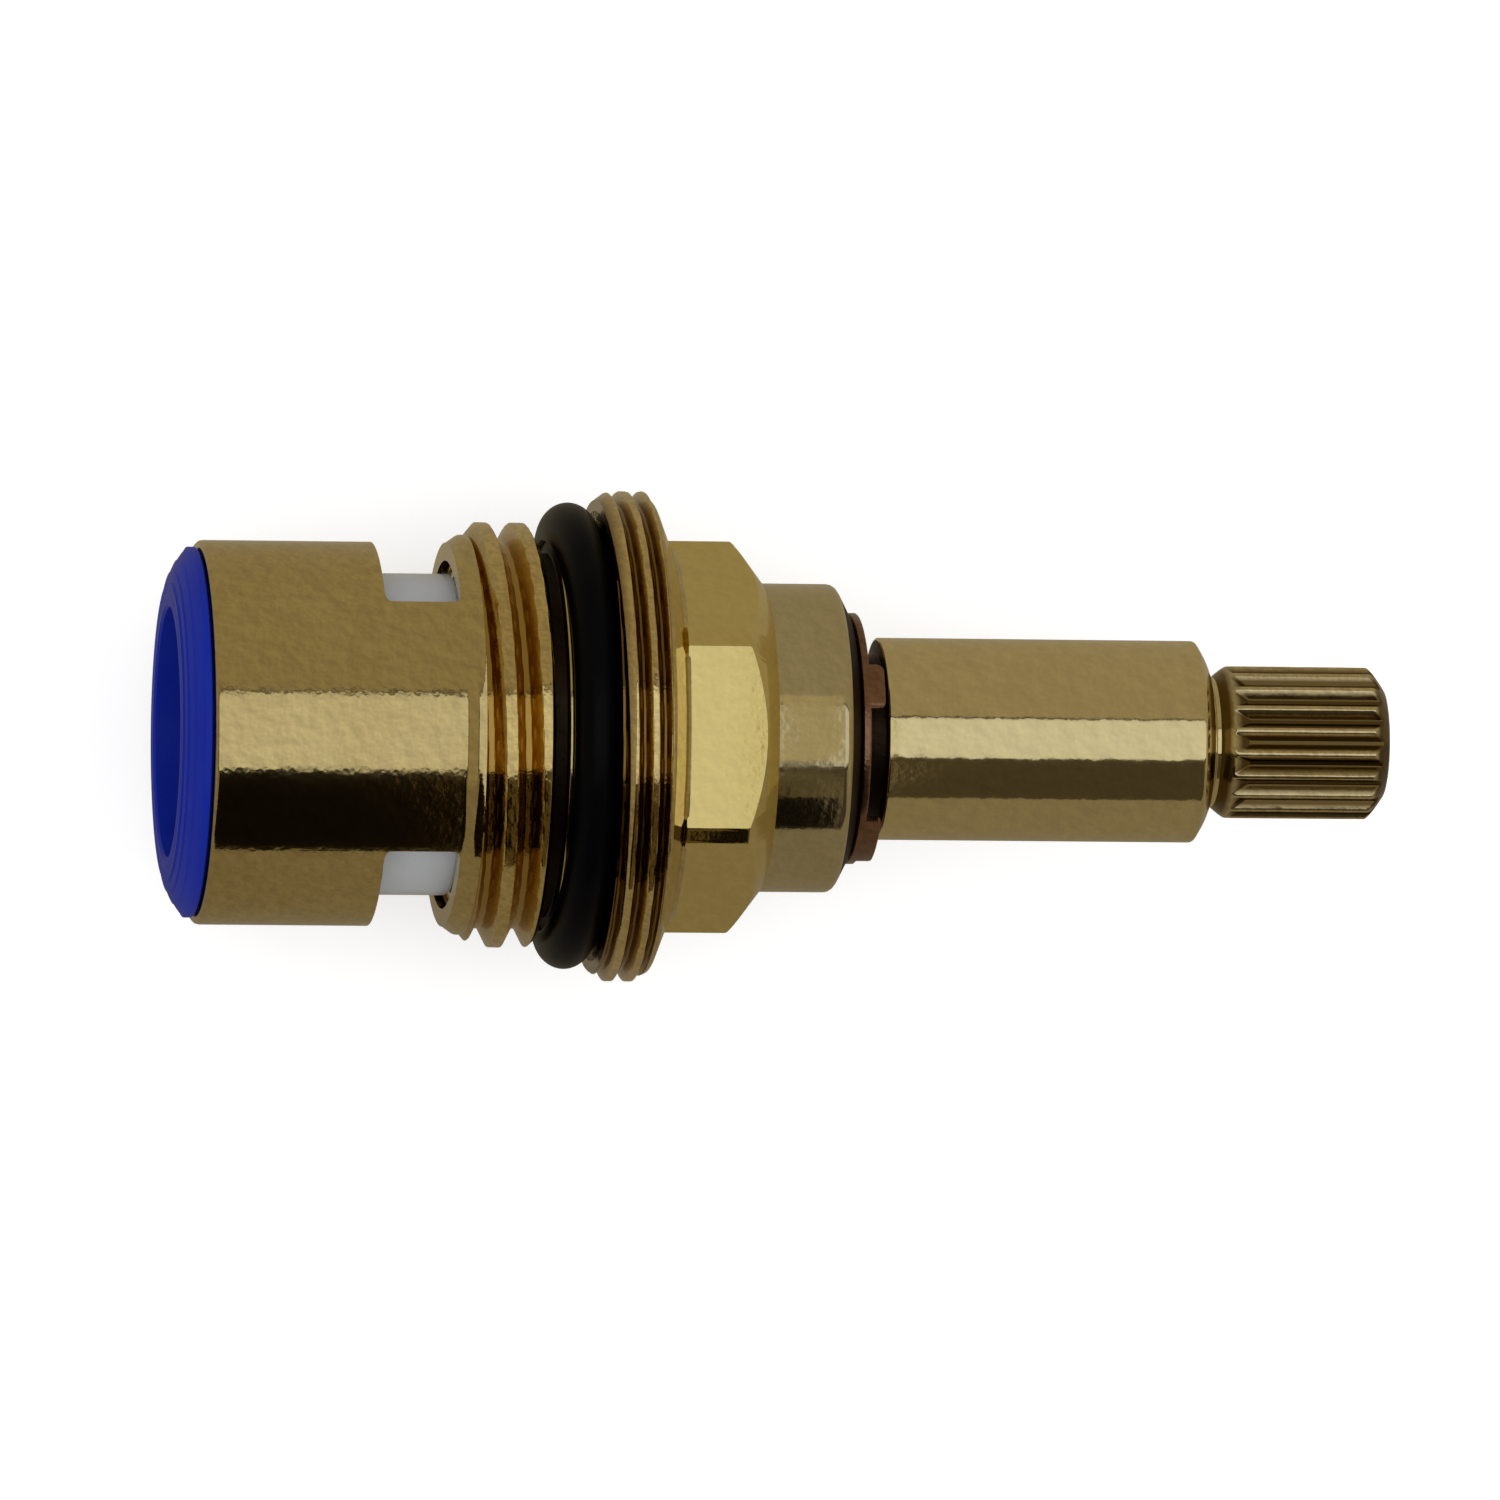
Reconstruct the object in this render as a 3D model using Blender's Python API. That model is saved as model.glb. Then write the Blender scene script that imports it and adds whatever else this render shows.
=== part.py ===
"""Quarter-turn ceramic disc cartridge for a shower valve.

The cartridge lies along X with its splined tip towards +X, its seat end towards -X and one
hexagon flat facing +Z. The origin is on the spindle's axis, half-way along the whole length.
Sizes are in metres, and azimuths are degrees about +X counted from +Z.
"""

import math

import bmesh
import bpy
from mathutils import Matrix

MM = 0.001

# Clearances
SEAT_GAP = 0.1 * MM
RUNNING_GAP = 0.1 * MM
KEY_GAP = 0.1 * MM
WATER_GAP = 0.65 * MM
STOP_GAP_DEG = 1.0

# Facets round a full turn, and round the section of a rubber ring
ROUND = 60
STEM_RING_ROUND = 40
FLANGE_RING_FACETS = 12
STEM_RING_FACETS = 8

# How far a cutting tool runs past the face that it cuts
PAST = 1.0 * MM

# Bonnet, from its seat end to its outer end
LOWER_THREAD_RADIUS = 10.4 * MM
LOWER_THREAD_LENGTH = 3.3 * MM
LOWER_THREAD_LEAD = 0.5 * MM
TUBE_RELIEF = 1.025 * MM
TUBE_WALL = 0.875 * MM
TUBE_EDGE = 0.15 * MM
PORT_START = 0.15 * MM
PORT_SHORT = 0.25 * MM
PORT_WIDTH = 14.3 * MM
PORT_LAND = 0.5 * MM
PORT_AZIMUTH = 87.0
THREAD_SHOULDER_DROP = 0.63 * MM
THREAD_SHOULDER_LENGTH = 0.45 * MM
INNER_SHOULDER_WALL = 0.85 * MM
FLANGE_RADIUS = 12.0 * MM
FLANGE_THREAD_LENGTH = 2.45 * MM
FLANGE_LEAD = 0.35 * MM
FLANGE_LEAD_LENGTH = 0.65 * MM
FLANGE_BACK_STEP = 0.75 * MM
FLANGE_BACK_LENGTH = 0.4 * MM
HEX_ACROSS_FLATS = 17.0 * MM
HEX_CORNER_TRIM = 0.235 * MM
COLLAR_LENGTH = 0.7 * MM
HEX_LENGTH = 3.1 * MM
HEX_CONE_LENGTH = 1.55 * MM
NECK_WALL = 2.5 * MM
NECK_LENGTH = 3.5 * MM
NECK_CHAMFER = 1.4 * MM
NECK_CHAMFER_LENGTH = 0.95 * MM
STOP_LUG_ANGLE = 30.0
STOP_LUG_SETBACK = 0.2 * MM
STOP_POCKET_STEP = 0.2 * MM

# Flange ring
FLANGE_RING_SECTION = 2.9 * MM
FLANGE_GROOVE_DEPTH = 2.0 * MM

# Seat seal and its support ring
SEAL_DEPTH = 4.1 * MM
SEAL_REACH = 1.5 * MM
SEAL_OUTER_WALL = 0.75 * MM
SEAL_INNER_WALL = 0.65 * MM
SEAL_LIP_WIDTH = 0.65 * MM
SEAL_RIDGE_HEIGHT = 0.04 * MM
SEAL_RIM = 0.45 * MM
SEAL_FACE_STEPS = 7
SEAL_RIDGE_STEPS = (3, 5)
SEAL_CROWN_POWER = 2.4
SEAL_FLANGE_INSET = 0.335 * MM
SUPPORT_WIDTH = 0.7 * MM
SUPPORT_LENGTH = 3.0 * MM

# Ceramic discs
FIXED_DISC_THICKNESS = 4.05 * MM
TURNING_DISC_THICKNESS = 4.1 * MM
DISC_EDGE = 0.2 * MM
WATERWAY_INNER_RADIUS = 1.8 * MM
WATERWAY_ANGLE = 80.0
DISC_KEY_WIDTH = 3.0 * MM
DISC_KEY_REACH = 0.45 * MM
RECESS_DEPTH = 2.4 * MM
SLOT_DEPTH = 1.15 * MM

# Spindle, from its hub to its tip
TANG_WIDTH = 3.6 * MM
TANG_INSET = 0.2 * MM
HUB_STEP = 1.35 * MM
HUB_SIDE_GAP = 0.25 * MM
WING_TIP_GAP = 0.2 * MM
SPINDLE_RADIUS = 4.95 * MM
SPINDLE_SHAFT_LENGTH = 15.7 * MM
CLIP_GROOVE_DEPTH = 0.85 * MM
CLIP_GROOVE_LENGTH = 1.3 * MM
END_CHAMFER = 0.75 * MM
END_CHAMFER_LENGTH = 0.44 * MM
END_TAPER_LENGTH = 0.3 * MM
END_TAPER_STEP = 0.25 * MM
SPLINE_NECK_RELIEF = 0.12 * MM
SPLINE_NECK_LENGTH = 0.6 * MM
SPLINE_TEETH = 20
SPLINE_RADIUS = 3.78 * MM
SPLINE_DEPTH = 0.46 * MM
SPLINE_CREST = 0.42 * MM
SPLINE_LEAD_LENGTH = 0.5 * MM
SPLINE_LENGTH = 6.7 * MM
TIP_CHAMFER = 1.08 * MM
TIP_CROWN = 0.12 * MM
TIP_LENGTH = 0.9 * MM
SCREW_HOLE_RADIUS = 1.65 * MM
SCREW_HOLE_DEPTH = 8.0 * MM
SCREW_HOLE_COUNTERSINK = 0.25 * MM

# Stem rings
STEM_RING_SECTION = 1.6 * MM
STEM_RING_SQUEEZE = 0.03 * MM
STEM_RING_FIRST = 3.9 * MM
STEM_RING_SPACING = 4.0 * MM

# Thrust washer and retaining clip
WASHER_THICKNESS = 0.45 * MM
CLIP_THICKNESS = 0.4 * MM
CLIP_EAR_LENGTH = 1.05 * MM
CLIP_GAP_ANGLE = 51.6
CLIP_GAP_AZIMUTH = 16.2
CLIP_EAR_ANGLE = 29.0

# Stations along the axis, from the bonnet's seat end
FIXED_DISC_STATION = SEAL_DEPTH + SEAT_GAP
TURNING_DISC_STATION = FIXED_DISC_STATION + FIXED_DISC_THICKNESS + SEAT_GAP
HUB_STATION = TURNING_DISC_STATION + TURNING_DISC_THICKNESS + SEAT_GAP
PORT_STATION = TURNING_DISC_STATION + PORT_START
PORT_LENGTH = TURNING_DISC_THICKNESS - PORT_START - PORT_SHORT
THREAD_SHOULDER = PORT_STATION + PORT_LENGTH + PORT_LAND
THREAD_START = THREAD_SHOULDER + THREAD_SHOULDER_LENGTH
GROOVE_START = THREAD_START + LOWER_THREAD_LENGTH
GROOVE_WIDTH = FLANGE_RING_SECTION + 2 * SEAT_GAP
INNER_SHOULDER = GROOVE_START - INNER_SHOULDER_WALL
WASHER_STATION = INNER_SHOULDER - SEAT_GAP - WASHER_THICKNESS
HUB_END = WASHER_STATION - SEAT_GAP
FLANGE_STATION = GROOVE_START + GROOVE_WIDTH
FLANGE_END = FLANGE_STATION + FLANGE_THREAD_LENGTH + FLANGE_BACK_LENGTH
HEX_STATION = FLANGE_END + COLLAR_LENGTH
HEX_CONE_STATION = HEX_STATION + HEX_LENGTH
NECK_STATION = HEX_CONE_STATION + HEX_CONE_LENGTH
BONNET_LENGTH = NECK_STATION + NECK_LENGTH + NECK_CHAMFER_LENGTH
CLIP_STATION = BONNET_LENGTH + SEAT_GAP
SHAFT_STATION = BONNET_LENGTH + CLIP_GROOVE_LENGTH
SPLINE_NECK_STATION = SHAFT_STATION + SPINDLE_SHAFT_LENGTH + END_CHAMFER_LENGTH + END_TAPER_LENGTH
SPLINE_STATION = SPLINE_NECK_STATION + SPLINE_NECK_LENGTH
TIP_STATION = SPLINE_STATION + SPLINE_LEAD_LENGTH + SPLINE_LENGTH
TIP_END = TIP_STATION + TIP_LENGTH
MIDDLE = (TIP_END - SEAL_REACH) / 2

# Radii of the bonnet and of what it holds
BONNET_RADIUS = LOWER_THREAD_RADIUS - TUBE_RELIEF
BORE_RADIUS = BONNET_RADIUS - TUBE_WALL
THREAD_SHOULDER_RADIUS = LOWER_THREAD_RADIUS - THREAD_SHOULDER_DROP
FLANGE_GROOVE_FLOOR = LOWER_THREAD_RADIUS - FLANGE_GROOVE_DEPTH
HEX_CORNER_RADIUS = HEX_ACROSS_FLATS / 2 / math.cos(math.radians(30)) - HEX_CORNER_TRIM
STEM_BORE_RADIUS = SPINDLE_RADIUS + RUNNING_GAP
NECK_RADIUS = STEM_BORE_RADIUS + NECK_WALL
CLIP_RADIUS = NECK_RADIUS - NECK_CHAMFER
SEAL_RADIUS = BORE_RADIUS - SEAT_GAP
SUPPORT_RADIUS = SEAL_RADIUS - SEAL_OUTER_WALL - SEAT_GAP
SEAL_HOLE_RADIUS = SUPPORT_RADIUS - SUPPORT_WIDTH - SEAT_GAP - SEAL_INNER_WALL
SEAL_FLANGE_RADIUS = BONNET_RADIUS - SEAL_FLANGE_INSET
FIXED_DISC_RADIUS = BORE_RADIUS - SEAT_GAP
KEY_RADIUS = FIXED_DISC_RADIUS + DISC_KEY_REACH
TURNING_DISC_RADIUS = BORE_RADIUS - WATER_GAP

# Radii of the spindle
HUB_RADIUS = SPINDLE_RADIUS + HUB_STEP
STOP_LUG_RADIUS = HUB_RADIUS + HUB_SIDE_GAP
STOP_POCKET_RADIUS = BORE_RADIUS - STOP_POCKET_STEP
WING_RADIUS = STOP_POCKET_RADIUS - WING_TIP_GAP
TANG_LENGTH = 2 * (HUB_RADIUS - TANG_INSET)
CLIP_GROOVE_RADIUS = SPINDLE_RADIUS - CLIP_GROOVE_DEPTH
STEM_RING_GAP = SEAT_GAP - STEM_RING_SQUEEZE
STEM_GROOVE_FLOOR = STEM_BORE_RADIUS - STEM_RING_SECTION - 2 * STEM_RING_GAP
SPLINE_NECK_RADIUS = SPLINE_RADIUS - SPLINE_DEPTH - SPLINE_NECK_RELIEF
TIP_RADIUS = SPLINE_RADIUS - TIP_CHAMFER

# Azimuths: the stops let the spindle turn a quarter, from closed to open
WEB_AZIMUTH = PORT_AZIMUTH - 90
STOP_LUG_AZIMUTH = WEB_AZIMUTH + 45
WING_ANGLE = 90 - STOP_LUG_ANGLE - 2 * STOP_GAP_DEG


def finish(name, colour, roughness, metallic):
    """A plain Principled material."""
    material = bpy.data.materials.new(name)
    material.use_nodes = True
    shader = material.node_tree.nodes["Principled BSDF"]
    shader.inputs["Base Color"].default_value = (*colour, 1)
    shader.inputs["Roughness"].default_value = roughness
    shader.inputs["Metallic"].default_value = metallic
    material.diffuse_color = (*colour, 1)
    return material


def axis_point(station, radius, azimuth):
    """The point at a station along the axis, a radius and an azimuth in degrees."""
    turn = math.radians(azimuth)
    return (station, -radius * math.sin(turn), radius * math.cos(turn))


def tidy_mesh(form, name):
    """The closed mesh of an edited form, with its seams merged and its faces outwards."""
    bmesh.ops.remove_doubles(form, verts=form.verts, dist=1e-7)
    bmesh.ops.recalc_face_normals(form, faces=form.faces)
    mesh = bpy.data.meshes.new(name)
    form.to_mesh(mesh)
    form.free()
    return mesh


def new_piece(name, mesh, material=None):
    """A new object in the scene, on the axis with its own material."""
    piece = bpy.data.objects.new(name, mesh)
    bpy.context.scene.collection.objects.link(piece)
    if material:
        piece.data.materials.append(material)
    return piece


def turned_mesh(name, outline, steps=ROUND):
    """A body of revolution about X from a closed outline of (station, radius) points."""
    form = bmesh.new()
    corners = [form.verts.new(axis_point(station, radius, 0)) for station, radius in outline]
    sides = [form.edges.new(pair) for pair in zip(corners, corners[1:] + corners[:1])]
    bmesh.ops.spin(
        form, geom=corners + sides, cent=(0, 0, 0), axis=(1, 0, 0), dvec=(0, 0, 0),
        angle=math.tau, steps=steps, use_merge=True, use_normal_flip=False, use_duplicate=False,
    )
    return tidy_mesh(form, name)


def prism_mesh(name, section, start, end):
    """A straight prism along X from a closed section of (radius, azimuth) points."""
    form = bmesh.new()
    face = form.faces.new([form.verts.new(axis_point(start, *point)) for point in section])
    grown = bmesh.ops.extrude_face_region(form, geom=[face])["geom"]
    moved = [item for item in grown if isinstance(item, bmesh.types.BMVert)]
    bmesh.ops.translate(form, verts=moved, vec=(end - start, 0, 0))
    return tidy_mesh(form, name)


def block_mesh(name, centre, size, azimuth):
    """A block turned about X, given by the centre and the size that it has at azimuth 0."""
    form = bmesh.new()
    shape = Matrix.Rotation(math.radians(azimuth), 4, "X") @ Matrix.Translation(centre)
    bmesh.ops.create_cube(form, size=1, matrix=shape @ Matrix.Diagonal((*size, 1)))
    return tidy_mesh(form, name)


def sector(inner, outer, middle, angle):
    """The section of a ring's sector, or of a wedge from the axis when inner is 0."""
    steps = max(2, round(angle * ROUND / 360))
    turns = [middle + angle * (step / steps - 0.5) for step in range(steps + 1)]
    arc = [(outer, turn) for turn in turns]
    if inner > 0:
        return arc + [(inner, turn) for turn in reversed(turns)]
    return arc + [(0, middle)]


def combine(piece, mesh, operation="DIFFERENCE"):
    """Cuts a mesh out of a piece, or joins it on."""
    tool = new_piece(mesh.name, mesh)
    tool.hide_render = True
    tool.display_type = "WIRE"
    change = piece.modifiers.new(mesh.name, "BOOLEAN")
    change.object = tool
    change.operation = operation
    change.solver = "EXACT"


def settle(piece, sharp_angle=32):
    """Applies the cuts of a piece, removes their tools and shades its round faces smooth."""
    if piece.modifiers:
        tools = [change.object for change in piece.modifiers]
        bpy.context.view_layer.update()
        evaluated = piece.evaluated_get(bpy.context.evaluated_depsgraph_get())
        piece.data = bpy.data.meshes.new_from_object(evaluated)
        piece.modifiers.clear()
        for tool in tools:
            bpy.data.objects.remove(tool)
    piece.data.shade_smooth()
    piece.data.set_sharp_from_angle(angle=math.radians(sharp_angle))


def place(piece, parent, station=0.0):
    """Sets a piece at its station from the seat end, under the empty that carries it."""
    piece.parent = parent
    piece.location.x = station - MIDDLE


def bonnet_outline():
    """The turned outline of the bonnet: its outside to the tip, then its bores back."""
    flange_back = FLANGE_RADIUS - FLANGE_BACK_STEP
    thread_lead = LOWER_THREAD_RADIUS - LOWER_THREAD_LEAD
    return [
        (0, BONNET_RADIUS - TUBE_EDGE),
        (TUBE_EDGE, BONNET_RADIUS),
        (THREAD_SHOULDER, BONNET_RADIUS),
        (THREAD_SHOULDER, THREAD_SHOULDER_RADIUS),
        (THREAD_START, THREAD_SHOULDER_RADIUS),
        (THREAD_START, thread_lead),
        (THREAD_START + LOWER_THREAD_LEAD, LOWER_THREAD_RADIUS),
        (GROOVE_START, LOWER_THREAD_RADIUS),
        (GROOVE_START, FLANGE_GROOVE_FLOOR),
        (FLANGE_STATION, FLANGE_GROOVE_FLOOR),
        (FLANGE_STATION, FLANGE_RADIUS - FLANGE_LEAD),
        (FLANGE_STATION + FLANGE_LEAD_LENGTH, FLANGE_RADIUS),
        (FLANGE_STATION + FLANGE_THREAD_LENGTH, FLANGE_RADIUS),
        (FLANGE_STATION + FLANGE_THREAD_LENGTH, flange_back),
        (FLANGE_END, flange_back),
        (FLANGE_END, HEX_CORNER_RADIUS),
        (HEX_CONE_STATION, HEX_CORNER_RADIUS),
        (NECK_STATION, NECK_RADIUS),
        (NECK_STATION + NECK_LENGTH, NECK_RADIUS),
        (BONNET_LENGTH, NECK_RADIUS - NECK_CHAMFER),
        (BONNET_LENGTH, STEM_BORE_RADIUS),
        (INNER_SHOULDER, STEM_BORE_RADIUS),
        (INNER_SHOULDER, STOP_LUG_RADIUS),
        (HUB_STATION + STOP_LUG_SETBACK, STOP_LUG_RADIUS),
        (HUB_STATION + STOP_LUG_SETBACK, BORE_RADIUS),
        (0, BORE_RADIUS),
    ]


def make_bonnet(parent):
    """The brass body: ports, keyways, inner stops and the spanner hexagon."""
    bonnet = new_piece(
        "bonnet",
        turned_mesh("bonnet", bonnet_outline()),
        finish("bonnet_brass", (0.52, 0.37, 0.14), 0.28, 1),
    )
    port_size = (PORT_LENGTH, 4 * BONNET_RADIUS, PORT_WIDTH)
    port_centre = (PORT_STATION + PORT_LENGTH / 2, 0, 0)
    combine(bonnet, block_mesh("ports", port_centre, port_size, PORT_AZIMUTH - 90))

    keyway_end = FIXED_DISC_STATION + FIXED_DISC_THICKNESS + KEY_GAP
    keyway_size = (keyway_end + PAST, DISC_KEY_WIDTH + 2 * KEY_GAP, 2 * (KEY_RADIUS + KEY_GAP))
    keyway_centre = ((keyway_end - PAST) / 2, 0, 0)
    combine(bonnet, block_mesh("keyways", keyway_centre, keyway_size, WEB_AZIMUTH))

    for side in (0, 180):
        pocket = sector(0, STOP_POCKET_RADIUS, STOP_LUG_AZIMUTH + 90 + side, 180 - STOP_LUG_ANGLE)
        combine(bonnet, prism_mesh(f"stop_pocket_{side}", pocket, TURNING_DISC_STATION, INNER_SHOULDER))

    slab_height = 2 * HEX_CORNER_RADIUS
    slab_length = BONNET_LENGTH + PAST - HEX_STATION
    slab_centre = (HEX_STATION + slab_length / 2, 0, (HEX_ACROSS_FLATS + slab_height) / 2)
    slab_size = (slab_length, 4 * HEX_CORNER_RADIUS, slab_height)
    for flat in range(6):
        combine(bonnet, block_mesh(f"hex_flat_{flat}", slab_centre, slab_size, 60 * flat))
    settle(bonnet)
    place(bonnet, parent)


def ring_mesh(name, centre_radius, section, facets, steps):
    """A round rubber ring about the axis."""
    half = section / 2
    turns = [math.tau * step / facets for step in range(facets)]
    outline = [(half * math.cos(turn), centre_radius + half * math.sin(turn)) for turn in turns]
    return turned_mesh(name, outline, steps)


def make_flange_ring(parent):
    """The large black ring that seals the bonnet in its housing."""
    centre_radius = FLANGE_GROOVE_FLOOR + SEAT_GAP + FLANGE_RING_SECTION / 2
    mesh = ring_mesh("flange_o_ring", centre_radius, FLANGE_RING_SECTION, FLANGE_RING_FACETS, ROUND)
    ring = new_piece("flange_o_ring", mesh, finish("flange_rubber", (0.012, 0.012, 0.014), 0.42, 0))
    settle(ring, 60)
    place(ring, parent, FLANGE_STATION - GROOVE_WIDTH / 2)


def seal_face():
    """The seal's face in front of the bonnet: a flat lip, then two low ridges down to its rim."""
    lip_end = SEAL_HOLE_RADIUS + SEAL_LIP_WIDTH
    width = SEAL_FLANGE_RADIUS - lip_end
    face = [(-SEAL_REACH, SEAL_HOLE_RADIUS), (-SEAL_REACH, lip_end)]
    for step in range(1, SEAL_FACE_STEPS):
        across = step / SEAL_FACE_STEPS
        fall = (SEAL_REACH - SEAL_RIM) * across**SEAL_CROWN_POWER
        ridge = SEAL_RIDGE_HEIGHT if step in SEAL_RIDGE_STEPS else -SEAL_RIDGE_HEIGHT
        face.append((fall - SEAL_REACH - ridge, lip_end + across * width))
    return face + [(-SEAL_RIM, SEAL_FLANGE_RADIUS)]


def seal_outline():
    """The seal's outline: its face, then the sleeve in the bore with the pocket for its support."""
    pocket_outer = SUPPORT_RADIUS + SEAT_GAP
    pocket_inner = SUPPORT_RADIUS - SUPPORT_WIDTH - SEAT_GAP
    pocket_start = SEAL_DEPTH - SUPPORT_LENGTH - SEAT_GAP
    sleeve = [
        (-SEAT_GAP, SEAL_FLANGE_RADIUS),
        (-SEAT_GAP, SEAL_RADIUS),
        (SEAL_DEPTH, SEAL_RADIUS),
        (SEAL_DEPTH, pocket_outer),
        (pocket_start, pocket_outer),
        (pocket_start, pocket_inner),
        (SEAL_DEPTH, pocket_inner),
        (SEAL_DEPTH, SEAL_HOLE_RADIUS),
    ]
    return seal_face() + sleeve


def make_seal(parent):
    """The blue lip seal that bears on the housing's seat, and the stiff ring inside it."""
    blue = finish("seal_rubber", (0.012, 0.02, 0.32), 0.4, 0)
    seal = new_piece("seat_seal", turned_mesh("seat_seal", seal_outline()), blue)
    settle(seal, 40)
    place(seal, parent)

    outline = [
        (0, SUPPORT_RADIUS - SUPPORT_WIDTH),
        (0, SUPPORT_RADIUS),
        (SUPPORT_LENGTH, SUPPORT_RADIUS),
        (SUPPORT_LENGTH, SUPPORT_RADIUS - SUPPORT_WIDTH),
    ]
    plastic = finish("support_plastic", (0.6, 0.6, 0.58), 0.5, 0)
    support = new_piece("seal_support_ring", turned_mesh("seal_support_ring", outline), plastic)
    settle(support)
    place(support, parent, SEAL_DEPTH - SUPPORT_LENGTH)


def disc_outline(radius, thickness):
    """The outline of a plain disc with a small edge all round, from its seat-side face."""
    return [
        (0, 0),
        (0, radius - DISC_EDGE),
        (DISC_EDGE, radius),
        (thickness - DISC_EDGE, radius),
        (thickness, radius - DISC_EDGE),
        (thickness, 0),
    ]


def make_fixed_disc(parent):
    """The keyed ceramic disc with its two waterways, which line up with the ports."""
    mesh = turned_mesh("fixed_disc", disc_outline(FIXED_DISC_RADIUS, FIXED_DISC_THICKNESS))
    disc = new_piece("fixed_disc", mesh, finish("fixed_ceramic", (0.78, 0.78, 0.76), 0.25, 0))
    key_depth = FIXED_DISC_THICKNESS - 2 * DISC_EDGE
    key_size = (key_depth, DISC_KEY_WIDTH, 2 * KEY_RADIUS)
    key_centre = (FIXED_DISC_THICKNESS / 2, 0, 0)
    combine(disc, block_mesh("disc_keys", key_centre, key_size, WEB_AZIMUTH), "UNION")
    for side in (0, 180):
        waterway = sector(WATERWAY_INNER_RADIUS, SEAL_HOLE_RADIUS, PORT_AZIMUTH + side, WATERWAY_ANGLE)
        mesh = prism_mesh(f"waterway_{side}", waterway, -PAST, FIXED_DISC_THICKNESS + PAST)
        combine(disc, mesh)
    settle(disc)
    place(disc, parent, FIXED_DISC_STATION)


def make_turning_disc(parent):
    """The ceramic disc that the spindle turns: two recesses that open to its rim, and a slot."""
    mesh = turned_mesh("turning_disc", disc_outline(TURNING_DISC_RADIUS, TURNING_DISC_THICKNESS))
    disc = new_piece("turning_disc", mesh, finish("turning_ceramic", (0.74, 0.75, 0.75), 0.25, 0))
    for side in (0, 180):
        past_rim = TURNING_DISC_RADIUS + PAST
        recess = sector(WATERWAY_INNER_RADIUS, past_rim, WEB_AZIMUTH + side, WATERWAY_ANGLE)
        combine(disc, prism_mesh(f"recess_{side}", recess, -PAST, RECESS_DEPTH))
    slot_size = (SLOT_DEPTH + PAST, TANG_WIDTH + 2 * KEY_GAP, TANG_LENGTH + 2 * KEY_GAP)
    slot_centre = (TURNING_DISC_THICKNESS + (PAST - SLOT_DEPTH) / 2, 0, 0)
    combine(disc, block_mesh("tang_slot", slot_centre, slot_size, PORT_AZIMUTH))
    settle(disc)
    place(disc, parent, TURNING_DISC_STATION)


def stem_ring_station(index):
    """Where the centre of a stem ring stands, from the bonnet's seat end."""
    return INNER_SHOULDER + STEM_RING_FIRST + index * STEM_RING_SPACING


def spindle_outline():
    """The turned outline of the spindle, from its hub to the spline's tip and into its screw hole."""
    shaft_end = SHAFT_STATION + SPINDLE_SHAFT_LENGTH
    outline = [
        (HUB_STATION, 0),
        (HUB_STATION, WING_RADIUS),
        (HUB_END, WING_RADIUS),
        (HUB_END, SPINDLE_RADIUS),
    ]
    half_groove = STEM_RING_SECTION / 2 + SEAT_GAP
    for index in range(2):
        centre = stem_ring_station(index)
        outline += [
            (centre - half_groove, SPINDLE_RADIUS),
            (centre - half_groove, STEM_GROOVE_FLOOR),
            (centre + half_groove, STEM_GROOVE_FLOOR),
            (centre + half_groove, SPINDLE_RADIUS),
        ]
    outline += [
        (BONNET_LENGTH, SPINDLE_RADIUS),
        (BONNET_LENGTH, CLIP_GROOVE_RADIUS),
        (SHAFT_STATION, CLIP_GROOVE_RADIUS),
        (SHAFT_STATION, SPINDLE_RADIUS),
        (shaft_end, SPINDLE_RADIUS),
        (shaft_end + END_CHAMFER_LENGTH, SPINDLE_RADIUS - END_CHAMFER),
        (SPLINE_NECK_STATION, SPLINE_NECK_RADIUS + END_TAPER_STEP),
        (SPLINE_NECK_STATION, SPLINE_NECK_RADIUS),
        (SPLINE_STATION, SPLINE_NECK_RADIUS),
        (SPLINE_STATION + SPLINE_LEAD_LENGTH, SPLINE_RADIUS),
        (TIP_STATION, SPLINE_RADIUS),
        (TIP_STATION + TIP_LENGTH / 2, (SPLINE_RADIUS + TIP_RADIUS) / 2 + TIP_CROWN),
        (TIP_END, TIP_RADIUS),
        (TIP_END, SCREW_HOLE_RADIUS + SCREW_HOLE_COUNTERSINK),
        (TIP_END - SCREW_HOLE_COUNTERSINK, SCREW_HOLE_RADIUS),
        (TIP_END - SCREW_HOLE_DEPTH, SCREW_HOLE_RADIUS),
        (TIP_END - SCREW_HOLE_DEPTH - SCREW_HOLE_RADIUS / 2, 0),
    ]
    return outline


def spline_grooves_mesh():
    """The ring of V grooves between the spline's teeth, cut the whole length of the tip."""
    start = SPLINE_STATION - SPLINE_NECK_LENGTH / 2
    end = TIP_END + PAST
    pitch = 360 / SPLINE_TEETH
    half_crest = math.degrees(SPLINE_CREST / 2 / SPLINE_RADIUS)
    root = SPLINE_RADIUS - SPLINE_DEPTH
    past_rim = SPLINE_RADIUS + SPLINE_DEPTH
    form = bmesh.new()
    for tooth in range(SPLINE_TEETH):
        groove = tooth * pitch
        edge = pitch / 2 - half_crest
        flare = edge * (past_rim - root) / SPLINE_DEPTH
        section = [(root, groove), (past_rim, groove + flare), (past_rim, groove - flare)]
        mesh = prism_mesh("groove", section, start, end)
        form.from_mesh(mesh)
        bpy.data.meshes.remove(mesh)
    bmesh.ops.recalc_face_normals(form, faces=form.faces)
    mesh = bpy.data.meshes.new("spline_grooves")
    form.to_mesh(mesh)
    form.free()
    return mesh


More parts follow.
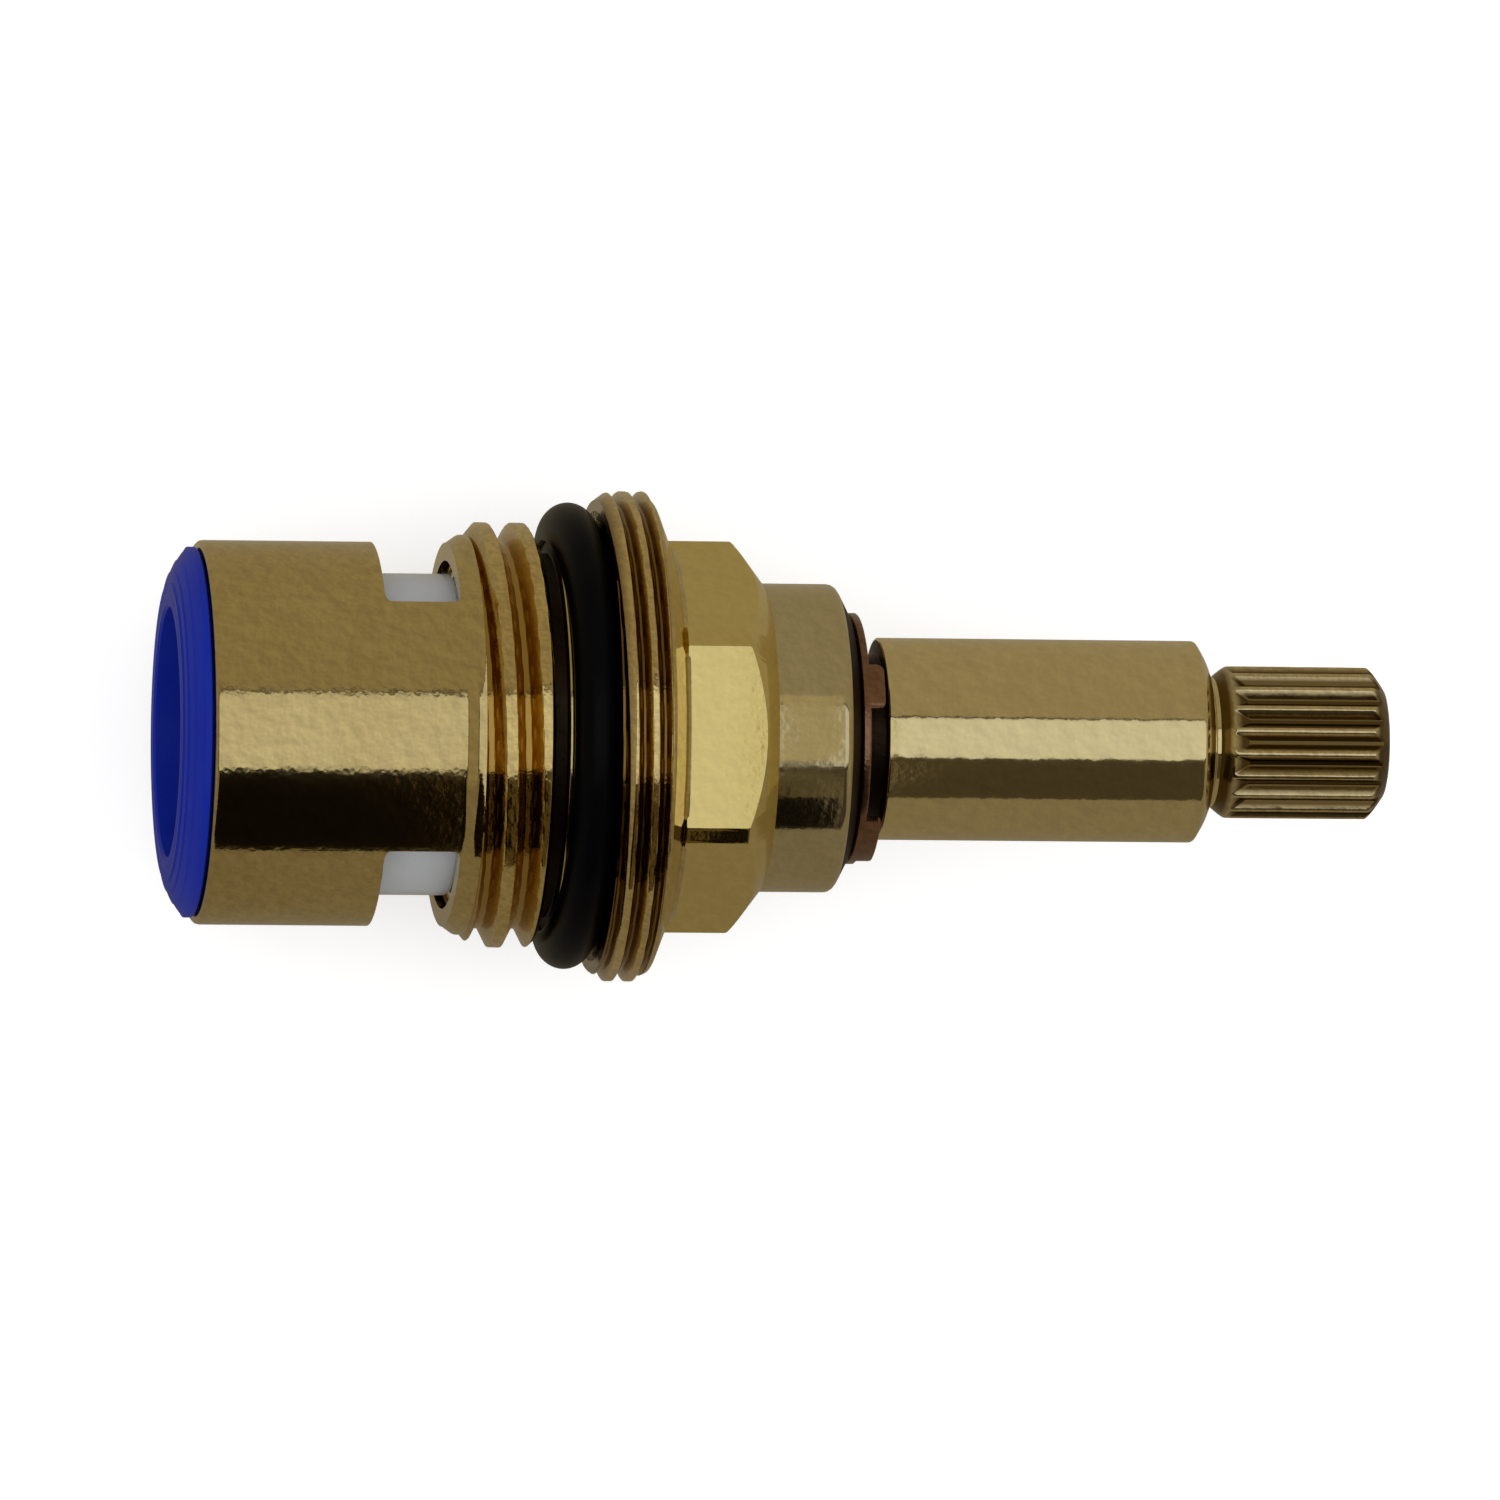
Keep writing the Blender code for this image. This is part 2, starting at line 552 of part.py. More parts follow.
def make_spindle(parent):
    """The brass spindle: tang, stop wings, ring grooves, clip groove, shaft and spline."""
    mesh = turned_mesh("spindle", spindle_outline())
    spindle = new_piece("spindle", mesh, finish("spindle_brass", (0.56, 0.41, 0.17), 0.24, 1))
    for side in (0, 180):
        past_rim = WING_RADIUS + PAST
        between = sector(HUB_RADIUS, past_rim, WEB_AZIMUTH + side, 180 - WING_ANGLE)
        mesh = prism_mesh(f"between_wings_{side}", between, HUB_STATION - PAST, HUB_END + PAST)
        combine(spindle, mesh)
    tang_start = HUB_STATION - SLOT_DEPTH
    tang_root = (HUB_STATION + HUB_END) / 2
    tang_size = (tang_root - tang_start, TANG_WIDTH, TANG_LENGTH)
    tang_centre = ((tang_root + tang_start) / 2, 0, 0)
    combine(spindle, block_mesh("tang", tang_centre, tang_size, PORT_AZIMUTH), "UNION")
    combine(spindle, spline_grooves_mesh())
    settle(spindle)
    place(spindle, parent)


def make_stem_rings(parent):
    """The two rubber rings that seal the spindle in the bonnet's bore."""
    section = STEM_RING_SECTION
    centre_radius = STEM_GROOVE_FLOOR + STEM_RING_GAP + section / 2
    for index, name in enumerate(("stem_o_ring_lower", "stem_o_ring_upper")):
        rubber = finish(f"{name}_rubber", (0.02, 0.02, 0.02), 0.5, 0)
        mesh = ring_mesh(name, centre_radius, section, STEM_RING_FACETS, STEM_RING_ROUND)
        ring = new_piece(name, mesh, rubber)
        settle(ring, 60)
        place(ring, parent, stem_ring_station(index))


def make_thrust_washer(parent):
    """The low-friction washer between the hub and the bonnet's inner shoulder."""
    inner = SPINDLE_RADIUS + 2 * RUNNING_GAP
    outline = [(0, inner), (0, HUB_RADIUS), (WASHER_THICKNESS, HUB_RADIUS), (WASHER_THICKNESS, inner)]
    plastic = finish("washer_plastic", (0.85, 0.85, 0.82), 0.45, 0)
    washer = new_piece("thrust_washer", turned_mesh("thrust_washer", outline), plastic)
    settle(washer)
    place(washer, parent, WASHER_STATION)


def make_clip(parent):
    """The bronze retaining clip: a sprung flat ring with an upturned ear at each side of its gap."""
    ear_inner = CLIP_RADIUS - CLIP_THICKNESS
    ear_end = CLIP_THICKNESS + CLIP_EAR_LENGTH
    outline = [
        (0, CLIP_GROOVE_RADIUS + SEAT_GAP),
        (0, CLIP_RADIUS),
        (ear_end, CLIP_RADIUS),
        (ear_end, ear_inner),
        (CLIP_THICKNESS, ear_inner),
        (CLIP_THICKNESS, CLIP_GROOVE_RADIUS + SEAT_GAP),
    ]
    bronze = finish("clip_bronze", (0.33, 0.17, 0.09), 0.3, 1)
    clip = new_piece("retaining_clip", turned_mesh("retaining_clip", outline), bronze)
    gap = sector(0, CLIP_RADIUS + PAST, CLIP_GAP_AZIMUTH, CLIP_GAP_ANGLE)
    combine(clip, prism_mesh("clip_gap", gap, -PAST, ear_end + PAST))
    low_rim = 360 - CLIP_GAP_ANGLE - 2 * CLIP_EAR_ANGLE
    rim = sector(ear_inner - CLIP_THICKNESS / 2, CLIP_RADIUS + PAST, CLIP_GAP_AZIMUTH + 180, low_rim)
    combine(clip, prism_mesh("rim_between_ears", rim, CLIP_THICKNESS, ear_end + PAST))
    settle(clip)
    place(clip, parent, CLIP_STATION)


def clear_scene():
    """Removes whatever the scene holds."""
    for item in list(bpy.data.objects):
        bpy.data.objects.remove(item)


def axis_empty(name):
    """An empty on the spindle's axis, which carries the pieces that stay or turn together."""
    empty = bpy.data.objects.new(name, None)
    empty.empty_display_size = BONNET_RADIUS
    bpy.context.scene.collection.objects.link(empty)
    return empty


def main():
    clear_scene()
    body = axis_empty("valve_body_axis")
    turning = axis_empty("spindle_axis")
    make_bonnet(body)
    make_flange_ring(body)
    make_seal(body)
    make_fixed_disc(body)
    make_thrust_washer(body)
    make_turning_disc(turning)
    make_spindle(turning)
    make_stem_rings(turning)
    make_clip(turning)


main()
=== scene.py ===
"""Shower valve cartridge: the fine shape and the finish of every piece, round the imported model.

Stations and radii are in millimetres, stations from the bonnet's seat end, and azimuths are
degrees about the spindle's axis, counted from straight up.
"""

import math

import bmesh
import bpy
from mathutils import Matrix, Vector


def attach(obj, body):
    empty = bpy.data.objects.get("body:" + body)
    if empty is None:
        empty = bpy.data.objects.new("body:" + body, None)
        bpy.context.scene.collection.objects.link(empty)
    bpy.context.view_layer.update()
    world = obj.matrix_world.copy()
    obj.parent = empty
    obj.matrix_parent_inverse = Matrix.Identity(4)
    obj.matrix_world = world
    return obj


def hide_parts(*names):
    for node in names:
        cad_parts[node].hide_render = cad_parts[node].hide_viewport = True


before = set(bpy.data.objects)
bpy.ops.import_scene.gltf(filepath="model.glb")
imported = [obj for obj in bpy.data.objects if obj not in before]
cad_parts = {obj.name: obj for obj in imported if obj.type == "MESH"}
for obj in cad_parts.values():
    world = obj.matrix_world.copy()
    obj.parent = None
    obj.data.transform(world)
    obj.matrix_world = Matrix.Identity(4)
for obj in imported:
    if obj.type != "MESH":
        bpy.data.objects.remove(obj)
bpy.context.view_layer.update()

MM = 0.001

# Station of the frame's origin, facets round a fine turned piece, and a reach past any surface
MIDDLE = 28.57
FINE = 240
CUT_REACH = 20

# Bonnet
TUBE_RADIUS = 9.375
TUBE_END = 12.25
BORE_RADIUS = 8.5
PORT_START = 8.5
PORT_END = 12.2
PORT_WIDTH = 14.3
PORT_CORNER = 0.4
PORT_AZIMUTH = 87.0
WEB_AZIMUTH = PORT_AZIMUTH - 90
KEYWAY_WIDTH = 3.2
KEYWAY_REACH = 8.95
SHOULDER_START = 12.8
SHOULDER_RADIUS = 9.77
LOWER_THREAD_START = 13.15
LOWER_THREAD_END = 16.45
LOWER_THREAD_RADIUS = 10.4
LOWER_THREAD_CORE = 9.35
LOWER_THREAD_ROOT = 9.45
LOWER_THREAD_PITCH = 1.814
RELIEF_FLOOR = 8.9
RING_LIP_START = 17.22
RING_LIP_END = 17.5
RING_LIP_RADIUS = 9.5
GROOVE_FLOOR = 8.4
FLANGE_START = 19.55
FLANGE_THREAD_END = 22.0
FLANGE_RADIUS = 12.0
FLANGE_ROOT = 11.42
FLANGE_CORE = 11.0
FLANGE_BACK_RADIUS = 11.7
FLANGE_THREAD_PITCH = 1.0
FLANGE_BACK_END = 23.0
HEX_START = 23.1
HEX_END = 26.2
HEX_CORNER_RADIUS = 9.58
HEX_ACROSS_FLATS = 17.0
UNDER_HEXAGON_RADIUS = 7.0
NECK_START = 27.75
NECK_RADIUS = 7.55
NECK_END = 31.25
BONNET_END = 31.97
BONNET_END_RADIUS = 6.15
STEM_BORE_RADIUS = 5.05
INNER_SHOULDER = 15.6
STOP_LUG_START = 12.75
STOP_LUG_RADIUS = 6.55
STOP_POCKET_RADIUS = 8.3
STOP_POCKET_AZIMUTH = WEB_AZIMUTH + 135
STOP_LUG_ANGLE = 30.0

# Seal, discs and rings
SEAL_REACH = 1.38
SEAL_RIM = 0.45
SEAL_HOLE_RADIUS = 6.1
SEAL_LIP_END = 6.75
SEAL_RIDGES = 4
SEAL_RIDGE_HEIGHT = 0.1
SEAL_FLANGE_RADIUS = 9.04
SEAL_FLANGE_END = -0.1
SEAL_SLEEVE_RADIUS = 8.4
SEAL_SLEEVE_END = 4.1
SUPPORT_POCKET_START = 1.0
SUPPORT_POCKET_RADII = (6.75, 7.65)
DISC_RADIUS = 7.85
DISC_START = 8.35
DISC_END = 12.45
WATERWAY_RADIUS = 1.8
WATERWAY_ANGLE = 80.0
WATERWAY_DEPTH = 2.4
FLANGE_RING_STATION = 18.45
FLANGE_RING_RADIUS = 9.95
FLANGE_RING_HEIGHT = 2.9
FLANGE_RING_WIDTH = 2.1
FLANGE_RING_BULGE = 0.5
STEM_RING_STATIONS = {"lower": 19.5, "upper": 23.5}
STEM_RING_RADIUS = 4.18
STEM_RING_SECTION = 1.6

# Spindle
SPINDLE_RADIUS = 4.95
HUB_START = 12.55
HUB_END = 14.95
HUB_RADIUS = 6.3
WING_RADIUS = 8.1
WING_ANGLE = 58.0
TANG_WIDTH = 3.6
TANG_DEPTH = 1.15
TANG_REACH = HUB_RADIUS - 0.2
TANG_ROOT = 13.75
TANG_SLACK = 0.2
STEM_GROOVE_WIDTH = 1.8
STEM_GROOVE_FLOOR = 3.31
CLIP_GROOVE_FLOOR = 4.1
SHAFT_START = 33.5
SHAFT_END = 49.2
CHAMFER_END = SHAFT_END + 0.44
CHAMFER_RADIUS = 4.2
SHAFT_STEP = SHAFT_END + 0.74
SHAFT_STEP_RADIUS = 3.45
SPLINE_NECK_RADIUS = 3.2
SPLINE_START = 50.2
SPLINE_RADIUS = 3.78
SPLINE_ROOT = 3.32
SPLINE_TEETH = 20
TIP_END = 58.64
SCREW_HOLE_RADIUS = 1.65

# Clip: an ear is its first and last azimuth and its corners' radius, the gap is two azimuths
CLIP_STATION = 32.05
CLIP_THICKNESS = 0.4
CLIP_INNER_RADIUS = 4.2
CLIP_RADIUS = 6.15
CLIP_EAR_END = 1.12
CLIP_EARS = ((-36.0, -14.0, 0.35), (41.0, 77.0, 0.15))
CLIP_GAP = (190.0, 210.0)

# Camera: angles in radians, lengths in metres, the sensor in millimetres
CAMERA_TILT = math.radians(8)
CAMERA_ROLL = math.radians(0.55)
CAMERA_DISTANCE = 0.9
FRAME_WIDTH = 0.07342
CAMERA_AIM = (-0.001224, -0.00061)
SENSOR = 36.0

# Studio: lengths in metres, linear colours, and the softbox's energy in watts
WORLD_LIGHT = 0.6
FLOOR_HEIGHT = -0.0121
FLOOR_LIFT = 0.5
FLOOR_REACH = 1.5
FLOOR_WHITE = (0.92, 0.92, 0.92)
CARD_AWAY = 0.07
TENT = (0.62, 0.27, 0.56)
WARM = (0.31, 0.265, 0.185)
WARM_FRONT = (0.225, 0.19, 0.135)
DIM = (0.06, 0.047, 0.03)
THREAD_DIM = (0.085, 0.058, 0.024)
NECK_DIM = (0.10, 0.08, 0.045)
NECK_BAND = (0.44, 0.375, 0.24)
BLACK = (0.008, 0.006, 0.004)
SOFTBOX_SIZE = (1.0, 0.42)
SOFTBOX_PLACE = (0.07, 0.0115, 0.5)
SOFTBOX_ENERGY = 0.88

# Stretches of the brass with a card of their own, and between which angles of its normal
TUBE_ZONE = (-60.0, 13.0)
TUBE_BLACK_ANGLES = (11.0, 37.3)
THREAD_ZONE = (13.0, 22.9)
THREAD_DIM_ANGLES = (11.0, 38.0)
HEXAGON_ZONE = (22.9, 26.8)
HEXAGON_BLACK_ANGLES = (15.0, 38.0)
NECK_ZONE = (26.8, 32.1)
NECK_BLACK_ANGLES = (22.5, 36.0)
NECK_DIM_ANGLES = (8.5, 22.5)
NECK_BAND_ANGLES = (-16.0, 8.5)
SHAFT_ZONE = (32.1, 90.0)
SHAFT_DIM_ANGLES = (10.5, 35.5)


def place(station, radius, azimuth):
    """The point in metres at a station, a radius and an azimuth."""
    turn = math.radians(azimuth)
    return Vector((station - MIDDLE, -radius * math.sin(turn), radius * math.cos(turn))) * MM


def x_at(station):
    """The place along X, in metres, of a station."""
    return (station - MIDDLE) * MM


def node(tree, kind, inputs=None, **settings):
    """A new node with its settings, and its inputs linked or set."""
    made = tree.nodes.new(kind)
    for name, value in settings.items():
        setattr(made, name, value)
    for key, value in (inputs or {}).items():
        if isinstance(value, bpy.types.NodeSocket):
            tree.links.new(value, made.inputs[key])
        else:
            made.inputs[key].default_value = value
    return made


def maths(tree, operation, *values, clamp=False):
    """The result of a Math node on sockets or numbers."""
    made = node(tree, "ShaderNodeMath", dict(enumerate(values)), operation=operation, use_clamp=clamp)
    return made.outputs[0]


def new_group(title, inputs, outputs, tree_kind="ShaderNodeTree"):
    """A node group with named sockets, each input as (kind, default), and what it is given."""
    tree = bpy.data.node_groups.new(title, tree_kind)
    for name, (kind, default) in inputs.items():
        socket = tree.interface.new_socket(name, in_out="INPUT", socket_type=kind)
        if default is not None:
            socket.default_value = default
    for name, kind in outputs.items():
        tree.interface.new_socket(name, in_out="OUTPUT", socket_type=kind)
    return tree, node(tree, "NodeGroupInput").outputs


FLOAT = "NodeSocketFloat"
COLOUR = "NodeSocketColor"


def turning_marks_group():
    """Fine rings round the spindle's axis, as a lathe tool leaves."""
    inputs = {"Rings per Metre": (FLOAT, 9000.0), "Waver": (FLOAT, 0.02)}
    tree, given = new_group("turning marks", inputs, {"Height": FLOAT})
    spot = node(tree, "ShaderNodeTexCoord").outputs["Object"]
    across = maths(tree, "MULTIPLY", given["Rings per Metre"], given["Waver"])
    parts = {"X": given["Rings per Metre"], "Y": across, "Z": across}
    stretch = node(tree, "ShaderNodeCombineXYZ", parts).outputs[0]
    rings = node(tree, "ShaderNodeVectorMath", {0: spot, 1: stretch}, operation="MULTIPLY").outputs[0]
    fine = node(tree, "ShaderNodeTexNoise", {"Vector": rings, "Scale": 1.0, "Detail": 2.0})
    broad = node(tree, "ShaderNodeTexNoise", {"Vector": rings, "Scale": 0.22, "Detail": 1.0})
    height = maths(tree, "ADD", fine.outputs[0], broad.outputs[0])
    node(tree, "NodeGroupOutput", {"Height": height})
    return tree


def pebbled_group():
    """The low uneven skin that tumbling and pickling leave on brass, and a painted emboss shading of it."""
    inputs = {"Size": (FLOAT, 0.0005), "Sharpness": (FLOAT, 0.5), "Relief": (FLOAT, 0.00009)}
    tree, given = new_group("pebbled skin", inputs, {"Height": FLOAT, "Relief": FLOAT})
    spot = node(tree, "ShaderNodeTexCoord").outputs["Object"]
    scale = maths(tree, "DIVIDE", 1.0, given["Size"])
    settings = {"Vector": spot, "Scale": scale, "Detail": 3.0, "Roughness": given["Sharpness"]}
    skin = node(tree, "ShaderNodeTexNoise", settings).outputs[0]
    fine_scale = maths(tree, "MULTIPLY", scale, 2.6)
    cells = node(tree, "ShaderNodeTexVoronoi", {"Vector": spot, "Scale": fine_scale}).outputs["Distance"]
    height = maths(tree, "ADD", skin, maths(tree, "MULTIPLY", cells, 0.25))
    # Painted shade and highlight: the skin less the skin a little beside it, as if lit from one side
    shift = node(tree, "ShaderNodeCombineXYZ", {"X": given["Relief"], "Y": given["Relief"]}).outputs[0]
    beside = node(tree, "ShaderNodeVectorMath", {0: spot, 1: shift}, operation="ADD").outputs[0]
    settings["Vector"] = beside
    skin_beside = node(tree, "ShaderNodeTexNoise", settings).outputs[0]
    emboss_shade = maths(tree, "SUBTRACT", skin, skin_beside)
    node(tree, "NodeGroupOutput", {"Height": height, "Relief": emboss_shade})
    return tree


def stain_group():
    """Broad patches and fine flecks between two colours, such as tarnish or dust."""
    inputs = {
        "Clean": (COLOUR, None),
        "Stained": (COLOUR, None),
        "Amount": (FLOAT, 0.5),
        "Patch Size": (FLOAT, 0.004),
        "Flecks": (FLOAT, 0.2),
    }
    tree, given = new_group("stain", inputs, {"Color": COLOUR, "Mask": FLOAT})
    spot = node(tree, "ShaderNodeTexCoord").outputs["Object"]
    scale = maths(tree, "DIVIDE", 1.0, given["Patch Size"])
    patches = node(tree, "ShaderNodeTexNoise", {"Vector": spot, "Scale": scale, "Detail": 5.0}).outputs[0]
    soft = node(tree, "ShaderNodeMapRange", {"Value": patches, "From Min": 0.36, "From Max": 0.68})
    fleck = {"Vector": spot, "Scale": maths(tree, "MULTIPLY", scale, 9.0), "Detail": 2.0}
    flecks = node(tree, "ShaderNodeTexNoise", fleck).outputs[0]
    sharp = node(tree, "ShaderNodeMapRange", {"Value": flecks, "From Min": 0.62, "From Max": 0.72})
    both = maths(
        tree, "ADD",
        maths(tree, "MULTIPLY", soft.outputs[0], given["Amount"]),
        maths(tree, "MULTIPLY", sharp.outputs[0], given["Flecks"]),
        clamp=True,
    )
    mixed = node(
        tree, "ShaderNodeMix", {"Factor": both, 6: given["Clean"], 7: given["Stained"]}, data_type="RGBA"
    )
    node(tree, "NodeGroupOutput", {"Color": mixed.outputs[2], "Mask": both})
    return tree


def depth_group():
    """How far a spot lies below a crest about the spindle's axis, for the painted shade in the roots."""
    inputs = {"Crest Radius": (FLOAT, 0.01), "Root Radius": (FLOAT, 0.009)}
    tree, given = new_group("depth below crest", inputs, {"Mask": FLOAT})
    spot = node(tree, "ShaderNodeTexCoord").outputs["Object"]
    across = node(tree, "ShaderNodeVectorMath", {0: spot, 1: (0, 1, 1)}, operation="MULTIPLY").outputs[0]
    radius = node(tree, "ShaderNodeVectorMath", {0: across}, operation="LENGTH").outputs["Value"]
    depth = {"Value": radius, "From Min": given["Crest Radius"], "From Max": given["Root Radius"]}
    node(tree, "NodeGroupOutput", {"Mask": node(tree, "ShaderNodeMapRange", depth).outputs[0]})
    return tree


TURNING_MARKS = turning_marks_group()
PEBBLED = pebbled_group()
STAIN = stain_group()
DEPTH = depth_group()


def use_group(tree, group, **values):
    """A node group placed in a tree, with its inputs by name."""
    inputs = {name.replace("_", " "): value for name, value in values.items()}
    return node(tree, "ShaderNodeGroup", inputs, node_tree=group).outputs


def new_material(name):
    """An empty node material with its Principled shader."""
    material = bpy.data.materials.new(name)
    material.use_nodes = True
    return material, material.node_tree, material.node_tree.nodes["Principled BSDF"]


def connect(tree, shader, colour, mask, roughness, height, depth):
    """Gives a shader its colour, a roughness that follows a mask, and a bump of a depth in metres."""
    rough = {"Value": mask, "To Min": roughness[0], "To Max": roughness[1]}
    bump = {"Height": height, "Strength": 1.0, "Distance": depth}
    tree.links.new(colour, shader.inputs["Base Color"])
    tree.links.new(node(tree, "ShaderNodeMapRange", rough).outputs[0], shader.inputs["Roughness"])
    tree.links.new(node(tree, "ShaderNodeBump", bump).outputs[0], shader.inputs["Normal"])


def brass(
    name, colour, stained, stain=0.5, rings=0.1, skin=0.8, skin_size=0.0005, dimple_shade=0.16,
    roughness=(0.08, 0.16), root_shade=(0.0, 0.0, 0.0), crest=0.0, root=0.0,
):
    """Turned brass: tool rings, a pebbled skin with painted shading of its dimples, tarnish, and painted
    shade in the roots below a crest.
    """
    material, tree, shader = new_material(name)
    tarnish = use_group(tree, STAIN, Clean=(*colour, 1), Stained=(*stained, 1), Amount=stain)
    marks = use_group(tree, TURNING_MARKS)
    pebbles = use_group(tree, PEBBLED, Size=skin_size)
    ring_height = maths(tree, "MULTIPLY", marks["Height"], rings)
    skin_height = maths(tree, "MULTIPLY", pebbles["Height"], skin)
    height = maths(tree, "ADD", ring_height, skin_height)
    # Painted shading of the dimples: the colour is scaled lighter and darker by the emboss
    dimple_shading = {
        "Value": pebbles["Relief"],
        "From Min": -0.12,
        "From Max": 0.12,
        "To Min": 1 - dimple_shade,
        "To Max": 1 + dimple_shade,
    }
    shaded = {0: tarnish["Color"], "Scale": node(tree, "ShaderNodeMapRange", dimple_shading).outputs[0]}
    tint = node(tree, "ShaderNodeVectorMath", shaded, operation="SCALE").outputs[0]
    # Painted shade in the roots: below the crest the colour is mixed towards a darker one
    if crest:
        depth = use_group(tree, DEPTH, Crest_Radius=crest * MM, Root_Radius=root * MM)
        root_shaded = {"Factor": depth["Mask"], 6: tint, 7: (*root_shade, 1)}
        tint = node(tree, "ShaderNodeMix", root_shaded, data_type="RGBA").outputs[2]
    connect(tree, shader, tint, tarnish["Mask"], roughness, height, 0.00002)
    shader.inputs["Metallic"].default_value = 1.0
    return material


def moulded(name, colour, dusty, dust=0.3, skin=0.4, roughness=(0.38, 0.6), gloss=0.5):
    """Rubber, ceramic or plastic: a slightly uneven skin with a little dust on it."""
    material, tree, shader = new_material(name)
    shader.inputs["Specular IOR Level"].default_value = gloss
    film = use_group(
        tree, STAIN, Clean=(*colour, 1), Stained=(*dusty, 1), Amount=dust, Flecks=0.5 * dust, Patch_Size=0.003
    )
    pebbles = use_group(tree, PEBBLED, Size=0.0003)
    height = maths(tree, "MULTIPLY", pebbles["Height"], skin)
    connect(tree, shader, film["Color"], film["Mask"], roughness, height, 0.00001)
    return material


BONNET_BRASS = brass(
    "bonnet brass", (0.70, 0.56, 0.25), (0.60, 0.45, 0.17), stain=0.35, rings=0.03, skin=0.5,
    skin_size=0.0007, dimple_shade=0.13,
)
# The lower thread's and the flange thread's roots take painted shade, darker below the crest
THREAD_BRASS = brass(
    "thread brass", (0.80, 0.63, 0.27), (0.55, 0.36, 0.11), stain=0.35, skin=0.5,
    root_shade=(0.50, 0.32, 0.08), crest=LOWER_THREAD_RADIUS - 0.1, root=LOWER_THREAD_ROOT + 0.2,
)
FLANGE_BRASS = brass(
    "flange brass", (0.82, 0.66, 0.31), (0.55, 0.36, 0.12), stain=0.35, skin=0.5,
    root_shade=(0.26, 0.15, 0.04), crest=FLANGE_RADIUS - 0.08, root=FLANGE_ROOT + 0.12,
)
HEXAGON_BRASS = brass(
    "hexagon brass", (0.87, 0.71, 0.28), (0.80, 0.63, 0.22), stain=0.15, rings=0.0, skin=0.4, dimple_shade=0.06,
    skin_size=0.0008,
)
NECK_BRASS = brass(
    "neck brass", (0.70, 0.61, 0.36), (0.60, 0.50, 0.25), stain=0.3, rings=0.02, skin=0.3, skin_size=0.0008,
    dimple_shade=0.08,
)
SPINDLE_BRASS = brass(
    "spindle brass", (0.84, 0.71, 0.37), (0.76, 0.62, 0.28), stain=0.15, rings=0.02, skin=0.45,
    skin_size=0.0010, dimple_shade=0.10,
)
# The spline's grooves take painted shade, darker below the crest
SPLINE_BRASS = brass(
    "spline brass", (0.74, 0.62, 0.35), (0.60, 0.46, 0.22), stain=0.3, rings=0.0, skin=0.4,
    roughness=(0.14, 0.28), root_shade=(0.16, 0.105, 0.035), crest=SPLINE_RADIUS - 0.05,
    root=SPLINE_ROOT + 0.2,
)
# Near-black brass for painted shade in the grooves, the recesses and the chamfer by the clip
PAINTED_SHADE_BRASS = brass(
    "painted shade brass", (0.035, 0.022, 0.014), (0.014, 0.009, 0.007), stain=0.7, rings=0.0, roughness=(0.4, 0.6)
)
CLIP_BRONZE = brass(
    "clip bronze", (0.30, 0.165, 0.10), (0.17, 0.085, 0.045), stain=0.5, rings=0.0, roughness=(0.2, 0.36)
)
SEAL_RUBBER = moulded("seal rubber", (0.005, 0.020, 0.35), (0.010, 0.034, 0.40), dust=0.3, gloss=0.12)
RING_RUBBER = moulded(
    "flange ring rubber", (0.0012, 0.0012, 0.0018), (0.005, 0.005, 0.006), dust=0.2,
    roughness=(0.3, 0.5), gloss=0.06,
)
STEM_RUBBER = moulded("stem ring rubber", (0.012, 0.012, 0.012), (0.04, 0.04, 0.04), dust=0.3)
CERAMIC = moulded(
    "ceramic", (0.54, 0.56, 0.58), (0.42, 0.42, 0.41), dust=0.35, skin=0.15, roughness=(0.16, 0.35)
)
SUPPORT_PLASTIC = moulded("support plastic", (0.55, 0.55, 0.53), (0.42, 0.42, 0.4), roughness=(0.3, 0.5))
WASHER_PLASTIC = moulded("washer plastic", (0.82, 0.82, 0.79), (0.7, 0.69, 0.64), roughness=(0.25, 0.4))


def mesh_of(form, name):
    """The closed mesh of an edited form, faces outwards."""
    bmesh.ops.remove_doubles(form, verts=form.verts, dist=1e-7)
    bmesh.ops.recalc_face_normals(form, faces=form.faces)
    mesh = bpy.data.meshes.new(name)
    form.to_mesh(mesh)
    form.free()
    return mesh


def new_piece(name, mesh, material=None):
    """A new object at the origin with its material."""
    piece = bpy.data.objects.new(name, mesh)
    bpy.context.scene.collection.objects.link(piece)
    if material:
        piece.data.materials.append(material)
    return piece


def eased(outline, ease=0.08, steps=3):
    """A closed outline of (station, radius) or (station, radius, ease), its corners rounded."""
    corners = [Vector(corner[:2]) for corner in outline]
    eases = [corner[2] if len(corner) > 2 else ease for corner in outline]
    smooth = []
    for index, corner in enumerate(corners):
        before = corners[index - 1] - corner
        after = corners[(index + 1) % len(corners)] - corner
        size = min(eases[index], 0.45 * before.length, 0.45 * after.length)
        if size <= 0 or corner.y <= 0:
            smooth.append(tuple(corner))
            continue
        start = corner + before.normalized() * size
        end = corner + after.normalized() * size
        for step in range(steps + 1):
            share = step / steps
            point = start.lerp(corner, share).lerp(corner.lerp(end, share), share)
            smooth.append(tuple(point))
    return smooth


def turned(name, outline, material, steps=FINE):
    """A turned piece from a closed outline of (station, radius) points."""
    form = bmesh.new()
    rings = []
    for station, radius in outline:
        count = 1 if radius <= 0 else steps
        turns = [360 * step / steps for step in range(count)]
        rings.append([form.verts.new(place(station, radius, turn)) for turn in turns])
    for near, far in zip(rings, rings[1:] + rings[:1]):
        for step in range(steps):
            after = (step + 1) % steps
            sides = [near[step % len(near)], near[after % len(near)]]
            sides += [far[after % len(far)], far[step % len(far)]]
            sides = list(dict.fromkeys(sides))
            if len(sides) > 2:
                form.faces.new(sides)
    return new_piece(name, mesh_of(form, name), material)


